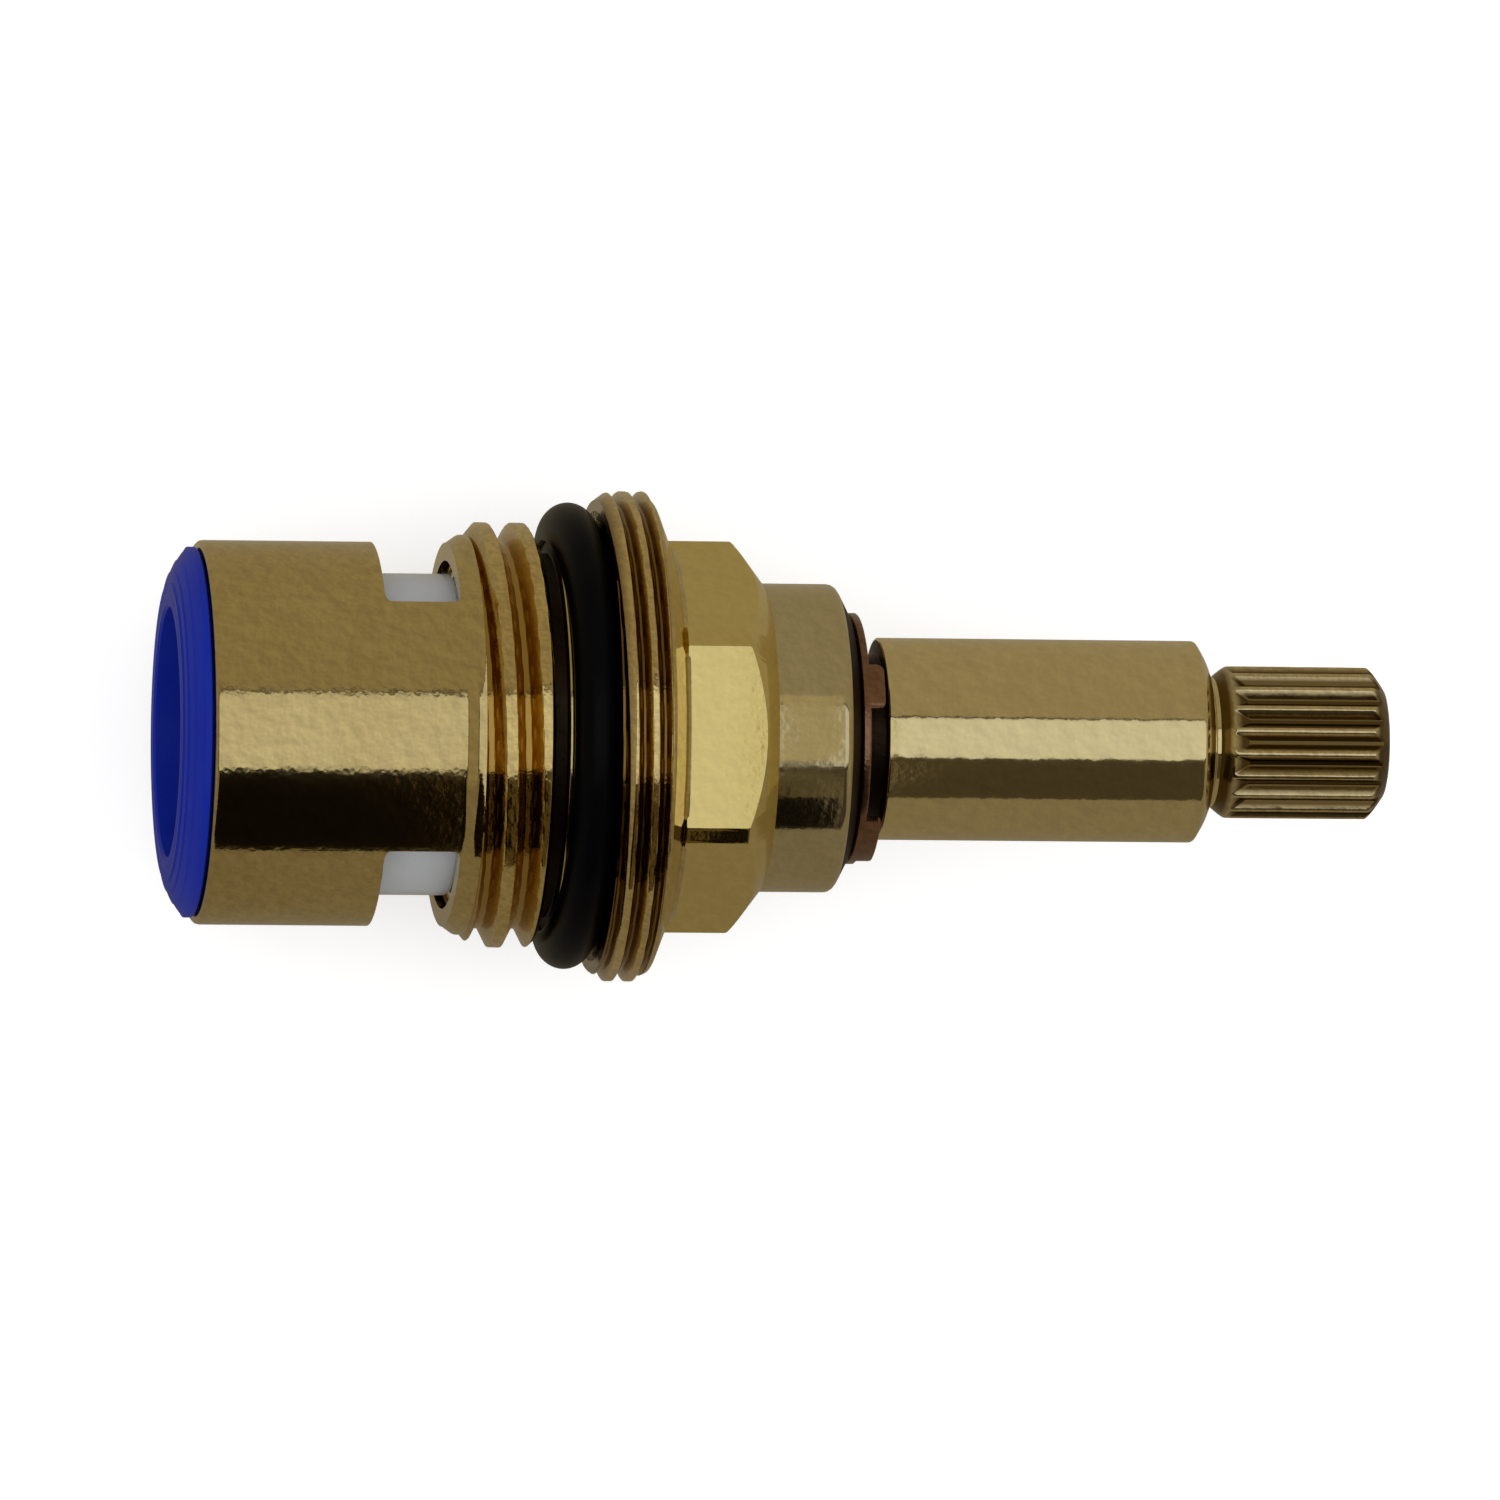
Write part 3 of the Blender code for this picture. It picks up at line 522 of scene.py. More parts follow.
def swept(name, form, face, shift):
    """The closed mesh that a face leaves when it moves by a shift."""
    parts = bmesh.ops.extrude_face_region(form, geom=[face])["geom"]
    moved = [part for part in parts if isinstance(part, bmesh.types.BMVert)]
    bmesh.ops.translate(form, verts=moved, vec=shift)
    return mesh_of(form, name)


def prism(name, section, start, end):
    """A straight prism along the axis from a closed section of (radius, azimuth) points."""
    form = bmesh.new()
    face = form.faces.new([form.verts.new(place(start, *point)) for point in section])
    return swept(name, form, face, ((end - start) * MM, 0, 0))


def slab(name, start, end, width, low, high, azimuth, corner=0.0):
    """A block from low to high along an azimuth, its corners rounded as seen along it."""
    half = width / 2
    edges = [(start, -half), (end, -half), (end, half), (start, half)]
    points = eased([(*edge, corner) for edge in edges], steps=4) if corner else edges
    turn = Matrix.Rotation(math.radians(azimuth), 4, "X")
    form = bmesh.new()
    base = [Vector((station - MIDDLE, across, low)) * MM for station, across in points]
    face = form.faces.new([form.verts.new(turn @ point) for point in base])
    return swept(name, form, face, turn @ Vector((0, 0, high - low)) * MM)


def bridge(form, near, far):
    """Faces between two closed sections with as many points each."""
    for index in range(len(near)):
        after = (index + 1) % len(near)
        form.faces.new((near[index], near[after], far[after], far[index]))


def sector(inner, outer, middle, angle, steps=24):
    """The section of a ring's sector, or of a wedge from the axis when inner is 0."""
    turns = [middle + angle * (step / steps - 0.5) for step in range(steps + 1)]
    arc = [(outer, turn) for turn in turns]
    if inner > 0:
        return arc + [(inner, turn) for turn in reversed(turns)]
    return arc + [(0, middle)]


def apply_changes(piece):
    """Makes a piece's modifiers part of its mesh."""
    bpy.context.view_layer.update()
    evaluated = piece.evaluated_get(bpy.context.evaluated_depsgraph_get())
    piece.data = bpy.data.meshes.new_from_object(evaluated)
    piece.modifiers.clear()


def settle(piece, cuts=(), joins=(), bevel=0.0, sharp=34):
    """Cuts and joins tools to a piece, eases its new edges and shades it, large faces staying true."""
    tools = []
    for operation, meshes in (("UNION", joins), ("DIFFERENCE", cuts)):
        for mesh in meshes:
            tool = new_piece(mesh.name, mesh)
            change = piece.modifiers.new(mesh.name, "BOOLEAN")
            change.object = tool
            change.operation = operation
            change.solver = "EXACT"
            tools.append(tool)
    if bevel:
        edge = piece.modifiers.new("eased edges", "BEVEL")
        edge.width = bevel * MM
        edge.segments = 2
        edge.limit_method = "ANGLE"
        edge.angle_limit = math.radians(38)
        edge.use_clamp_overlap = True
    apply_changes(piece)
    for tool in tools:
        bpy.data.objects.remove(tool)
    piece.data.shade_smooth()
    piece.data.set_sharp_from_angle(angle=math.radians(sharp))
    even = piece.modifiers.new("even normals", "WEIGHTED_NORMAL")
    even.keep_sharp = True
    even.weight = 100
    apply_changes(piece)


def paint(piece, material, start, end, low=0.0, high=CUT_REACH):
    """Gives the faces with their middle between two stations and two radii another material."""
    piece.data.materials.append(material)
    index = len(piece.data.materials) - 1
    for face in piece.data.polygons:
        station = face.center.x / MM + MIDDLE
        radius = math.hypot(face.center.y, face.center.z) / MM
        if start < station < end and low < radius < high:
            face.material_index = index


def dress(piece, body, slot, *nodes):
    """Puts a finished piece on its body, in place of the CAD nodes it stands for. The slot is not used."""
    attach(piece, body)
    if nodes:
        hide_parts(*nodes)


def ridged_band_tree():
    """A closed band about the axis with ridges on it: a screw thread, or teeth along it."""
    inputs = {
        "Start": (FLOAT, 0.0),
        "End": (FLOAT, 0.01),
        "Inner Radius": (FLOAT, 0.005),
        "Root Radius": (FLOAT, 0.009),
        "Crest Radius": (FLOAT, 0.01),
        "Ridges per Metre": (FLOAT, 0.0),
        "Ridges Round": (FLOAT, 1.0),
        "Turn": (FLOAT, 0.0),
        "Root Share": (FLOAT, 0.1),
        "Crest Share": (FLOAT, 0.2),
        "Start Lead": (FLOAT, 0.0),
        "Start Lead Length": (FLOAT, 0.001),
        "End Lead": (FLOAT, 0.0),
        "End Lead Length": (FLOAT, 0.001),
        "Lead Curve": (FLOAT, 1.0),
        "Runout Start": (FLOAT, -1.0),
        "Runout Length": (FLOAT, 0.001),
        "Burr": (FLOAT, 0.0),
        "Rows": ("NodeSocketInt", 60),
        "Columns": ("NodeSocketInt", 288),
        "Material": ("NodeSocketMaterial", None),
    }
    outputs = {"Geometry": "NodeSocketGeometry"}
    tree, given = new_group("ridged band", inputs, outputs, "GeometryNodeTree")
    size = {"Size X": 1.0, "Size Y": 1.0, "Vertices X": given["Rows"], "Vertices Y": given["Columns"]}
    grid = node(tree, "GeometryNodeMeshGrid", size).outputs["Mesh"]
    where = node(tree, "GeometryNodeInputPosition").outputs[0]
    spot = node(tree, "ShaderNodeSeparateXYZ", {0: where}).outputs
    last = maths(tree, "SUBTRACT", given["Rows"], 1.0)
    row = maths(tree, "ROUND", maths(tree, "MULTIPLY", maths(tree, "ADD", spot["X"], 0.5), last))
    around = maths(tree, "ADD", spot["Y"], 0.5)

    # Row 0 lies inside at the start, the last but one inside at the end, the last on row 0
    closing = maths(tree, "GREATER_THAN", row, maths(tree, "SUBTRACT", last, 0.5))
    back = maths(tree, "GREATER_THAN", row, maths(tree, "SUBTRACT", last, 1.5))
    inside = maths(tree, "MAXIMUM", maths(tree, "LESS_THAN", row, 0.5), back)
    steps = maths(tree, "SUBTRACT", last, 3.0)
    along = maths(tree, "DIVIDE", maths(tree, "SUBTRACT", row, 1.0), steps, clamp=True)
    along = maths(tree, "MULTIPLY", along, maths(tree, "SUBTRACT", 1.0, closing))
    length = maths(tree, "SUBTRACT", given["End"], given["Start"])
    from_start = maths(tree, "MULTIPLY", along, length)
    to_end = maths(tree, "SUBTRACT", length, from_start)
    x = maths(tree, "ADD", given["Start"], from_start)

    # Ridges that wind round as they advance, full before the runout
    advance = maths(tree, "MULTIPLY", from_start, given["Ridges per Metre"])
    winding = maths(tree, "MULTIPLY", around, given["Ridges Round"])
    ridge = maths(tree, "ADD", maths(tree, "SUBTRACT", advance, winding), given["Turn"])
    share = maths(tree, "FRACT", ridge)
    swing = maths(tree, "MULTIPLY_ADD", share, 2.0, -1.0)
    rise = maths(tree, "SUBTRACT", 1.0, maths(tree, "ABSOLUTE", swing))
    flank = {
        "Value": rise,
        "From Min": given["Root Share"],
        "From Max": maths(tree, "SUBTRACT", 1.0, given["Crest Share"]),
    }
    height = node(tree, "ShaderNodeMapRange", flank).outputs[0]
    past_start = maths(tree, "SUBTRACT", from_start, given["Runout Start"])
    opened = maths(tree, "DIVIDE", past_start, given["Runout Length"], clamp=True)
    height = maths(tree, "MAXIMUM", height, maths(tree, "SUBTRACT", 1.0, opened))
    depth = maths(tree, "SUBTRACT", given["Crest Radius"], given["Root Radius"])
    radius = maths(tree, "MULTIPLY_ADD", height, depth, given["Root Radius"])

    # The leads hold the ridges under a cone at both ends
    for distance, end in ((from_start, "Start"), (to_end, "End")):
        near = maths(tree, "DIVIDE", distance, given[f"{end} Lead Length"], clamp=True)
        fall = maths(tree, "POWER", maths(tree, "SUBTRACT", 1.0, near), given["Lead Curve"])
        drop = maths(tree, "MULTIPLY", fall, given[f"{end} Lead"])
        cone = maths(tree, "SUBTRACT", given["Crest Radius"], drop)
        radius = maths(tree, "SMOOTH_MIN", radius, cone, 0.00004)

    angle = maths(tree, "MULTIPLY", around, math.tau)
    sine = maths(tree, "SINE", angle)
    cosine = maths(tree, "COSINE", angle)
    on_crest = node(
        tree, "ShaderNodeCombineXYZ",
        {
            "X": x,
            "Y": maths(tree, "MULTIPLY", sine, given["Crest Radius"]),
            "Z": maths(tree, "MULTIPLY", cosine, given["Crest Radius"]),
        },
    ).outputs[0]
    burrs = node(tree, "ShaderNodeTexNoise", {"Vector": on_crest, "Scale": 900.0, "Detail": 4.0}).outputs[0]
    raised = maths(tree, "MULTIPLY", maths(tree, "SUBTRACT", burrs, 0.62), height)
    radius = maths(tree, "ADD", radius, maths(tree, "MULTIPLY", raised, given["Burr"]))
    radius = node(
        tree, "ShaderNodeMix", {"Factor": inside, 2: radius, 3: given["Inner Radius"]}, data_type="FLOAT"
    ).outputs[0]

    moved = node(
        tree, "ShaderNodeCombineXYZ",
        {
            "X": x,
            "Y": maths(tree, "MULTIPLY", maths(tree, "MULTIPLY", sine, radius), -1.0),
            "Z": maths(tree, "MULTIPLY", cosine, radius),
        },
    ).outputs[0]
    band = node(tree, "GeometryNodeSetPosition", {"Geometry": grid, "Position": moved}).outputs[0]
    closed = node(tree, "GeometryNodeMergeByDistance", {"Geometry": band, "Distance": 1e-6}).outputs[0]
    real = node(tree, "GeometryNodeRealizeInstances", {"Geometry": closed}).outputs[0]
    finish = {"Geometry": real, "Material": given["Material"]}
    finished = node(tree, "GeometryNodeSetMaterial", finish).outputs[0]
    node(tree, "NodeGroupOutput", {"Geometry": finished})
    return tree


RIDGED_BAND = ridged_band_tree()


def grown(name, tree, values):
    """A plain mesh piece from a Geometry Nodes tree and its named values."""
    piece = new_piece(name, bpy.data.meshes.new(name))
    change = piece.modifiers.new(tree.name, "NODES")
    change.node_group = tree
    for socket in tree.interface.items_tree:
        if socket.in_out == "INPUT" and socket.name in values:
            change[socket.identifier] = values[socket.name]
    apply_changes(piece)
    form = bmesh.new()
    form.from_mesh(piece.data)
    piece.data = mesh_of(form, name)
    piece.data.materials.append(values["Material"])
    piece.data.shade_smooth()
    piece.data.set_sharp_from_angle(angle=math.radians(40))
    return piece


def make_bonnet():
    """The brass body: one turned outline with its ports, keyways and stop pockets cut from it."""
    outline = eased(
        [
            (0, TUBE_RADIUS, 0.3),
            (TUBE_END, TUBE_RADIUS, 0.1),
            (SHOULDER_START, SHOULDER_RADIUS, 0.12),
            (LOWER_THREAD_START, SHOULDER_RADIUS, 0),
            (LOWER_THREAD_START, LOWER_THREAD_CORE, 0),
            (LOWER_THREAD_END, LOWER_THREAD_CORE, 0),
            (LOWER_THREAD_END, RELIEF_FLOOR, 0.1),
            (RING_LIP_START, RELIEF_FLOOR, 0.1),
            (RING_LIP_START, RING_LIP_RADIUS, 0.1),
            (RING_LIP_END, RING_LIP_RADIUS, 0.1),
            (RING_LIP_END, GROOVE_FLOOR, 0.1),
            (FLANGE_START, GROOVE_FLOOR, 0.1),
            (FLANGE_START, FLANGE_CORE, 0),
            (FLANGE_THREAD_END - 0.1, FLANGE_CORE, 0),
            (FLANGE_THREAD_END - 0.1, FLANGE_BACK_RADIUS, 0),
            (FLANGE_THREAD_END + 0.15, FLANGE_BACK_RADIUS - 0.1, 0.1),
            (FLANGE_BACK_END, HEX_CORNER_RADIUS - 0.15, 0.15),
            (HEX_START + 0.1, HEX_CORNER_RADIUS - 0.25, 0),
            (HEX_START + 0.1, UNDER_HEXAGON_RADIUS, 0),
            (NECK_START - 0.15, UNDER_HEXAGON_RADIUS, 0),
            (NECK_START - 0.15, NECK_RADIUS, 0),
            (NECK_END, NECK_RADIUS, 0.3),
            (BONNET_END, BONNET_END_RADIUS, 0.15),
            (BONNET_END, STEM_BORE_RADIUS, 0.15),
            (INNER_SHOULDER, STEM_BORE_RADIUS, 0.1),
            (INNER_SHOULDER, STOP_LUG_RADIUS, 0),
            (STOP_LUG_START, STOP_LUG_RADIUS, 0.1),
            (STOP_LUG_START, BORE_RADIUS, 0.1),
            (0, BORE_RADIUS, 0.12),
        ],
        ease=0.05,
    )
    bonnet = turned("bonnet_body", outline, BONNET_BRASS)
    cuts = [
        slab("ports", PORT_START, PORT_END, PORT_WIDTH, -CUT_REACH, CUT_REACH, PORT_AZIMUTH, PORT_CORNER),
        slab("keyways", -1, DISC_START, KEYWAY_WIDTH, -KEYWAY_REACH, KEYWAY_REACH, WEB_AZIMUTH),
    ]
    for side in (0, 180):
        pocket = sector(0, STOP_POCKET_RADIUS, STOP_POCKET_AZIMUTH + side, 180 - STOP_LUG_ANGLE)
        cuts.append(prism(f"stop_pocket_{side}", pocket, DISC_START, INNER_SHOULDER))
    settle(bonnet, cuts, bevel=0.06)
    paint(bonnet, NECK_BRASS, NECK_START - 0.2, BONNET_END + 0.1, STEM_BORE_RADIUS)
    # Painted shade: the end chamfer by the clip, the relief groove and the ring groove in near-black brass
    paint(bonnet, PAINTED_SHADE_BRASS, NECK_END + 0.25, BONNET_END + 0.1, BONNET_END_RADIUS - 0.1)
    paint(bonnet, PAINTED_SHADE_BRASS, LOWER_THREAD_END, RING_LIP_START, RELIEF_FLOOR - 0.1, RING_LIP_RADIUS - 0.2)
    paint(bonnet, PAINTED_SHADE_BRASS, RING_LIP_END, FLANGE_START, GROOVE_FLOOR - 0.1, RING_LIP_RADIUS)
    dress(bonnet, "valve_body", "bonnet_brass", "bonnet")


def screw_thread(name, stations, radii, pitch, turn, shares, start_lead, end_lead, material):
    """One screw thread of the bonnet, its radii the inner one, the root and the crest."""
    values = {
        "Start": x_at(stations[0]),
        "End": x_at(stations[1]),
        "Inner Radius": radii[0] * MM,
        "Root Radius": radii[1] * MM,
        "Crest Radius": radii[2] * MM,
        "Ridges per Metre": 1 / (pitch * MM),
        "Turn": turn,
        "Root Share": shares[0],
        "Crest Share": shares[1],
        "Start Lead": start_lead[0] * MM,
        "Start Lead Length": start_lead[1] * MM,
        "End Lead": end_lead[0] * MM,
        "End Lead Length": end_lead[1] * MM,
        "Burr": 0.06 * MM,
        "Rows": 72,
        "Columns": 300,
        "Material": material,
    }
    dress(grown(name, RIDGED_BAND, values), "valve_body", "bonnet_brass", "bonnet")


def make_threads():
    """The bonnet's two screw threads, each lead given as its drop and its length."""
    screw_thread(
        "lower_thread",
        stations=(LOWER_THREAD_START, LOWER_THREAD_END),
        radii=(LOWER_THREAD_CORE - 0.15, LOWER_THREAD_ROOT, LOWER_THREAD_RADIUS),
        pitch=LOWER_THREAD_PITCH,
        turn=0.866,
        shares=(0.16, 0.30),
        start_lead=(0.6, 0.5),
        end_lead=(0.2, 0.2),
        material=THREAD_BRASS,
    )
    screw_thread(
        "flange_thread",
        stations=(FLANGE_START, FLANGE_THREAD_END),
        radii=(FLANGE_CORE - 0.4, FLANGE_ROOT, FLANGE_RADIUS),
        pitch=FLANGE_THREAD_PITCH,
        turn=0.93,
        shares=(0.12, 0.28),
        start_lead=(0.45, 0.6),
        end_lead=(0.35, 0.15),
        material=FLANGE_BRASS,
    )


def make_hexagon():
    """The bonnet's spanner hexagon, with the cone that falls from it to the neck."""
    inner = UNDER_HEXAGON_RADIUS - 0.1
    outline = eased(
        [
            (HEX_START, inner, 0),
            (HEX_START, HEX_CORNER_RADIUS, 0.05),
            (HEX_END, HEX_CORNER_RADIUS, 0.1),
            (NECK_START, NECK_RADIUS - 0.02, 0),
            (NECK_START, inner, 0),
        ]
    )
    hexagon = turned("spanner_hexagon", outline, HEXAGON_BRASS)
    flat = HEX_ACROSS_FLATS / 2
    cuts = [
        slab(f"hex_flat_{side}", HEX_START - 1, NECK_START + 1, CUT_REACH, flat, flat + 5, 60 * side)
        for side in range(6)
    ]
    settle(hexagon, cuts, bevel=0.14, sharp=25)
    dress(hexagon, "valve_body", "bonnet_brass", "bonnet")


def make_flange_ring():
    """The flange ring: oval in its groove, and bulging over the lip at the two sides."""
    steps = FINE
    facets = 48
    clear = 0.05
    form = bmesh.new()
    sections = []
    for step in range(steps):
        azimuth = 360 * step / steps
        bulge = FLANGE_RING_BULGE * math.sin(math.radians(azimuth)) ** 4
        half_width = FLANGE_RING_WIDTH / 2 + bulge / 2
        half_height = FLANGE_RING_HEIGHT / 2
        section = []
        for facet in range(facets):
            turn = math.tau * facet / facets
            station = FLANGE_RING_STATION - bulge / 2 + half_width * math.cos(turn)
            radius = FLANGE_RING_RADIUS + half_height * math.sin(turn)
            if station < RING_LIP_END + clear:
                radius = max(radius, RING_LIP_RADIUS + clear)
            section.append(form.verts.new(place(station, radius, azimuth)))
        sections.append(section)
    for near, far in zip(sections, sections[1:] + sections[:1]):
        bridge(form, near, far)
    flange_ring = new_piece("flange_ring", mesh_of(form, "flange_ring"), RING_RUBBER)
    settle(flange_ring, sharp=60)
    dress(flange_ring, "valve_body", "flange_rubber", "flange_o_ring")


def make_stem_rings():
    """The spindle's two round rubber rings, hidden in the bonnet's bore."""
    facets = 20
    turns = [math.tau * facet / facets for facet in range(facets)]
    half = STEM_RING_SECTION / 2
    for name, station in STEM_RING_STATIONS.items():
        outline = [
            (station + half * math.cos(turn), STEM_RING_RADIUS + half * math.sin(turn)) for turn in turns
        ]
        stem_ring = turned(f"stem_ring_{name}", outline, STEM_RUBBER, 96)
        settle(stem_ring, sharp=60)
        dress(stem_ring, "spindle", f"stem_o_ring_{name}_rubber", f"stem_o_ring_{name}")


def make_seal():
    """The seat seal: a coned face with saw-tooth ridges, and a sleeve with the support ring's pocket."""
    face = [(-SEAL_REACH, SEAL_HOLE_RADIUS + 0.12), (-SEAL_REACH, SEAL_LIP_END - 0.1)]
    steps = 48
    for step in range(1, steps):
        across = step / steps
        fall = (SEAL_REACH - SEAL_RIM) * across**2.2
        ridge = SEAL_RIDGE_HEIGHT * (across * SEAL_RIDGES % 1) * (1 - across) ** 0.5
        radius = SEAL_LIP_END + across * (SEAL_FLANGE_RADIUS - SEAL_LIP_END)
        face.append((fall - SEAL_REACH - ridge + 0.05, radius))
    pocket_inner, pocket_outer = SUPPORT_POCKET_RADII
    sleeve = [
        (-SEAL_RIM, SEAL_FLANGE_RADIUS),
        (SEAL_FLANGE_END - 0.05, SEAL_FLANGE_RADIUS),
        (SEAL_FLANGE_END, SEAL_FLANGE_RADIUS - 0.05),
        (SEAL_FLANGE_END, SEAL_SLEEVE_RADIUS),
        (SEAL_SLEEVE_END, SEAL_SLEEVE_RADIUS),
        (SEAL_SLEEVE_END, pocket_outer),
        (SUPPORT_POCKET_START, pocket_outer),
        (SUPPORT_POCKET_START, pocket_inner),
        (SEAL_SLEEVE_END, pocket_inner),
        (SEAL_SLEEVE_END, SEAL_HOLE_RADIUS),
        (-SEAL_REACH + 0.12, SEAL_HOLE_RADIUS),
    ]
    seal = turned("seat_seal_lip", face + sleeve, SEAL_RUBBER)
    settle(seal)
    dress(seal, "valve_body", "seal_rubber", "seat_seal")


def make_turning_disc():
    """The white disc seen through the ports, with two waterways and the tang's slot."""
    outline = eased(
        [
            (DISC_START, 0),
            (DISC_START, DISC_RADIUS, 0.25),
            (DISC_END, DISC_RADIUS, 0.25),
            (DISC_END, 0),
        ]
    )
    disc = turned("turning_ceramic_disc", outline, CERAMIC, 160)
    cuts = []
    for side in (0, 180):
        recess = sector(WATERWAY_RADIUS, DISC_RADIUS + 1, WEB_AZIMUTH + side, WATERWAY_ANGLE)
        cuts.append(prism(f"recess_{side}", recess, DISC_START - 1, DISC_START + WATERWAY_DEPTH))
    slot_width = TANG_WIDTH + TANG_SLACK
    slot_reach = TANG_REACH + TANG_SLACK / 2
    slot_floor = DISC_END - TANG_DEPTH
    slot = slab("tang_slot", slot_floor, DISC_END + 1, slot_width, -slot_reach, slot_reach, PORT_AZIMUTH)
    settle(disc, [*cuts, slot], bevel=0.05)
    dress(disc, "spindle", "turning_ceramic", "turning_disc")


def make_spindle():
    """The spindle from its hub and tang to the spline's neck."""
    tip_core = SPLINE_START + 0.1
    stem_grooves = []
    for station in STEM_RING_STATIONS.values():
        start = station - STEM_GROOVE_WIDTH / 2
        end = station + STEM_GROOVE_WIDTH / 2
        stem_grooves += [(start, SPINDLE_RADIUS), (start, STEM_GROOVE_FLOOR)]
        stem_grooves += [(end, STEM_GROOVE_FLOOR), (end, SPINDLE_RADIUS)]
    outline = eased(
        [
            (HUB_START, 0),
            (HUB_START, WING_RADIUS, 0.1),
            (HUB_END, WING_RADIUS, 0.1),
            (HUB_END, SPINDLE_RADIUS, 0.1),
            *stem_grooves,
            (BONNET_END, SPINDLE_RADIUS),
            (BONNET_END, CLIP_GROOVE_FLOOR),
            (SHAFT_START, CLIP_GROOVE_FLOOR),
            (SHAFT_START, SPINDLE_RADIUS, 0.12),
            (SHAFT_END, SPINDLE_RADIUS, 0.14),
            (CHAMFER_END, CHAMFER_RADIUS, 0.2),
            (SHAFT_STEP, SHAFT_STEP_RADIUS, 0.15),
            (SHAFT_STEP, SPLINE_NECK_RADIUS, 0.15),
            (tip_core, SPLINE_NECK_RADIUS, 0),
            (tip_core, SCREW_HOLE_RADIUS - 0.02, 0),
            (tip_core - 0.8, 0),
        ],
        ease=0.06,
    )
    spindle = turned("spindle_shaft", outline, SPINDLE_BRASS)
    cuts = [
        prism(
            f"between_wings_{side}",
            sector(HUB_RADIUS, WING_RADIUS + 1, WEB_AZIMUTH + side, 180 - WING_ANGLE, 48),
            HUB_START - 1,
            HUB_END + 1,
        )
        for side in (0, 180)
    ]
    tang_end = HUB_START - TANG_DEPTH
    tang = slab("tang", tang_end, TANG_ROOT, TANG_WIDTH, -TANG_REACH, TANG_REACH, PORT_AZIMUTH)
    settle(spindle, cuts, [tang], bevel=0.06)
    # Painted shade: the clip's groove on the spindle in near-black brass
    paint(spindle, PAINTED_SHADE_BRASS, BONNET_END - 0.01, SHAFT_START + 0.01, 0, SPINDLE_RADIUS - 0.2)
    dress(spindle, "spindle", "spindle_brass", "spindle")


def make_spline():
    """The toothed tip of the spindle, with its rounded end and the screw's hole."""
    spline = grown(
        "spindle_spline",
        RIDGED_BAND,
        {
            "Start": x_at(SPLINE_START),
            "End": x_at(TIP_END),
            "Inner Radius": SCREW_HOLE_RADIUS * MM,
            "Root Radius": SPLINE_ROOT * MM,
            "Crest Radius": SPLINE_RADIUS * MM,
            "Ridges Round": float(SPLINE_TEETH),
            "Root Share": 0.22,
            "Crest Share": 0.14,
            "Start Lead": 0.56 * MM,
            "Start Lead Length": 0.8 * MM,
            "Runout Start": 0.5 * MM,
            "Runout Length": 0.9 * MM,
            "End Lead": 1.08 * MM,
            "End Lead Length": 0.9 * MM,
            "Lead Curve": 1.3,
            "Burr": 0.03 * MM,
            "Rows": 84,
            "Columns": SPLINE_TEETH * 24 + 1,
            "Material": SPLINE_BRASS,
        },
    )
    dress(spline, "spindle", "spindle_brass", "spindle")


def clip_rise(azimuth):
    """How far the clip's rim rises from its seat side at an azimuth, the ears' corners rounded."""
    flat = CLIP_THICKNESS + 0.01
    for first, last, corner in CLIP_EARS:
        if first < azimuth < last:
            near = CLIP_RADIUS * math.radians(min(azimuth - first, last - azimuth))
            missing = 1 - math.sqrt(1 - max(0.0, 1 - near / corner) ** 2)
            return max(flat, CLIP_EAR_END - corner * missing)
    return flat


def make_clip():
    """A flat sprung ring with a gap, and two ears turned up from its rim."""
    edges = [CLIP_GAP[1] - 360]
    for first, last, corner in CLIP_EARS:
        round_angle = math.degrees(corner / CLIP_RADIUS)
        edges += [first, first + 0.05, first + round_angle, last - round_angle, last - 0.05, last]
    edges.append(CLIP_GAP[0])
    turns = []
    for first, last in zip(edges, edges[1:]):
        count = max(6, round((last - first) / 2))
        turns += [first + (last - first) * step / count for step in range(count)]
    turns.append(edges[-1])

    ease = 0.05
    form = bmesh.new()
    sections = []
    for turn in turns:
        rise = clip_rise(turn)
        corners = [
            (0, CLIP_INNER_RADIUS),
            (0, CLIP_RADIUS - 0.1),
            (0.03, CLIP_RADIUS - 0.03),
            (0.1, CLIP_RADIUS),
            (max(0.12, rise - ease), CLIP_RADIUS),
            (rise, CLIP_RADIUS - ease),
            (rise, CLIP_RADIUS - CLIP_THICKNESS + ease),
            (max(CLIP_THICKNESS + 0.005, rise - ease), CLIP_RADIUS - CLIP_THICKNESS),
            (CLIP_THICKNESS, CLIP_RADIUS - CLIP_THICKNESS),
            (CLIP_THICKNESS, CLIP_INNER_RADIUS),
        ]
        ends = [place(CLIP_STATION + along, radius, turn) for along, radius in corners]
        sections.append([form.verts.new(end) for end in ends])
    for near, far in zip(sections, sections[1:]):
        bridge(form, near, far)
    form.faces.new(sections[0])
    form.faces.new(reversed(sections[-1]))
    clip = new_piece("clip", mesh_of(form, "clip"), CLIP_BRONZE)
    settle(clip, sharp=50)
    dress(clip, "spindle", "clip_bronze", "retaining_clip")


def finish_hidden_nodes():
    """Gives the CAD nodes that keep their own shape a finished material."""
    finishes = {
        "fixed_disc": CERAMIC,
        "seal_support_ring": SUPPORT_PLASTIC,
        "thrust_washer": WASHER_PLASTIC,
    }
    for name, material in finishes.items():
        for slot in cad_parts[name].material_slots:
            slot.material = material


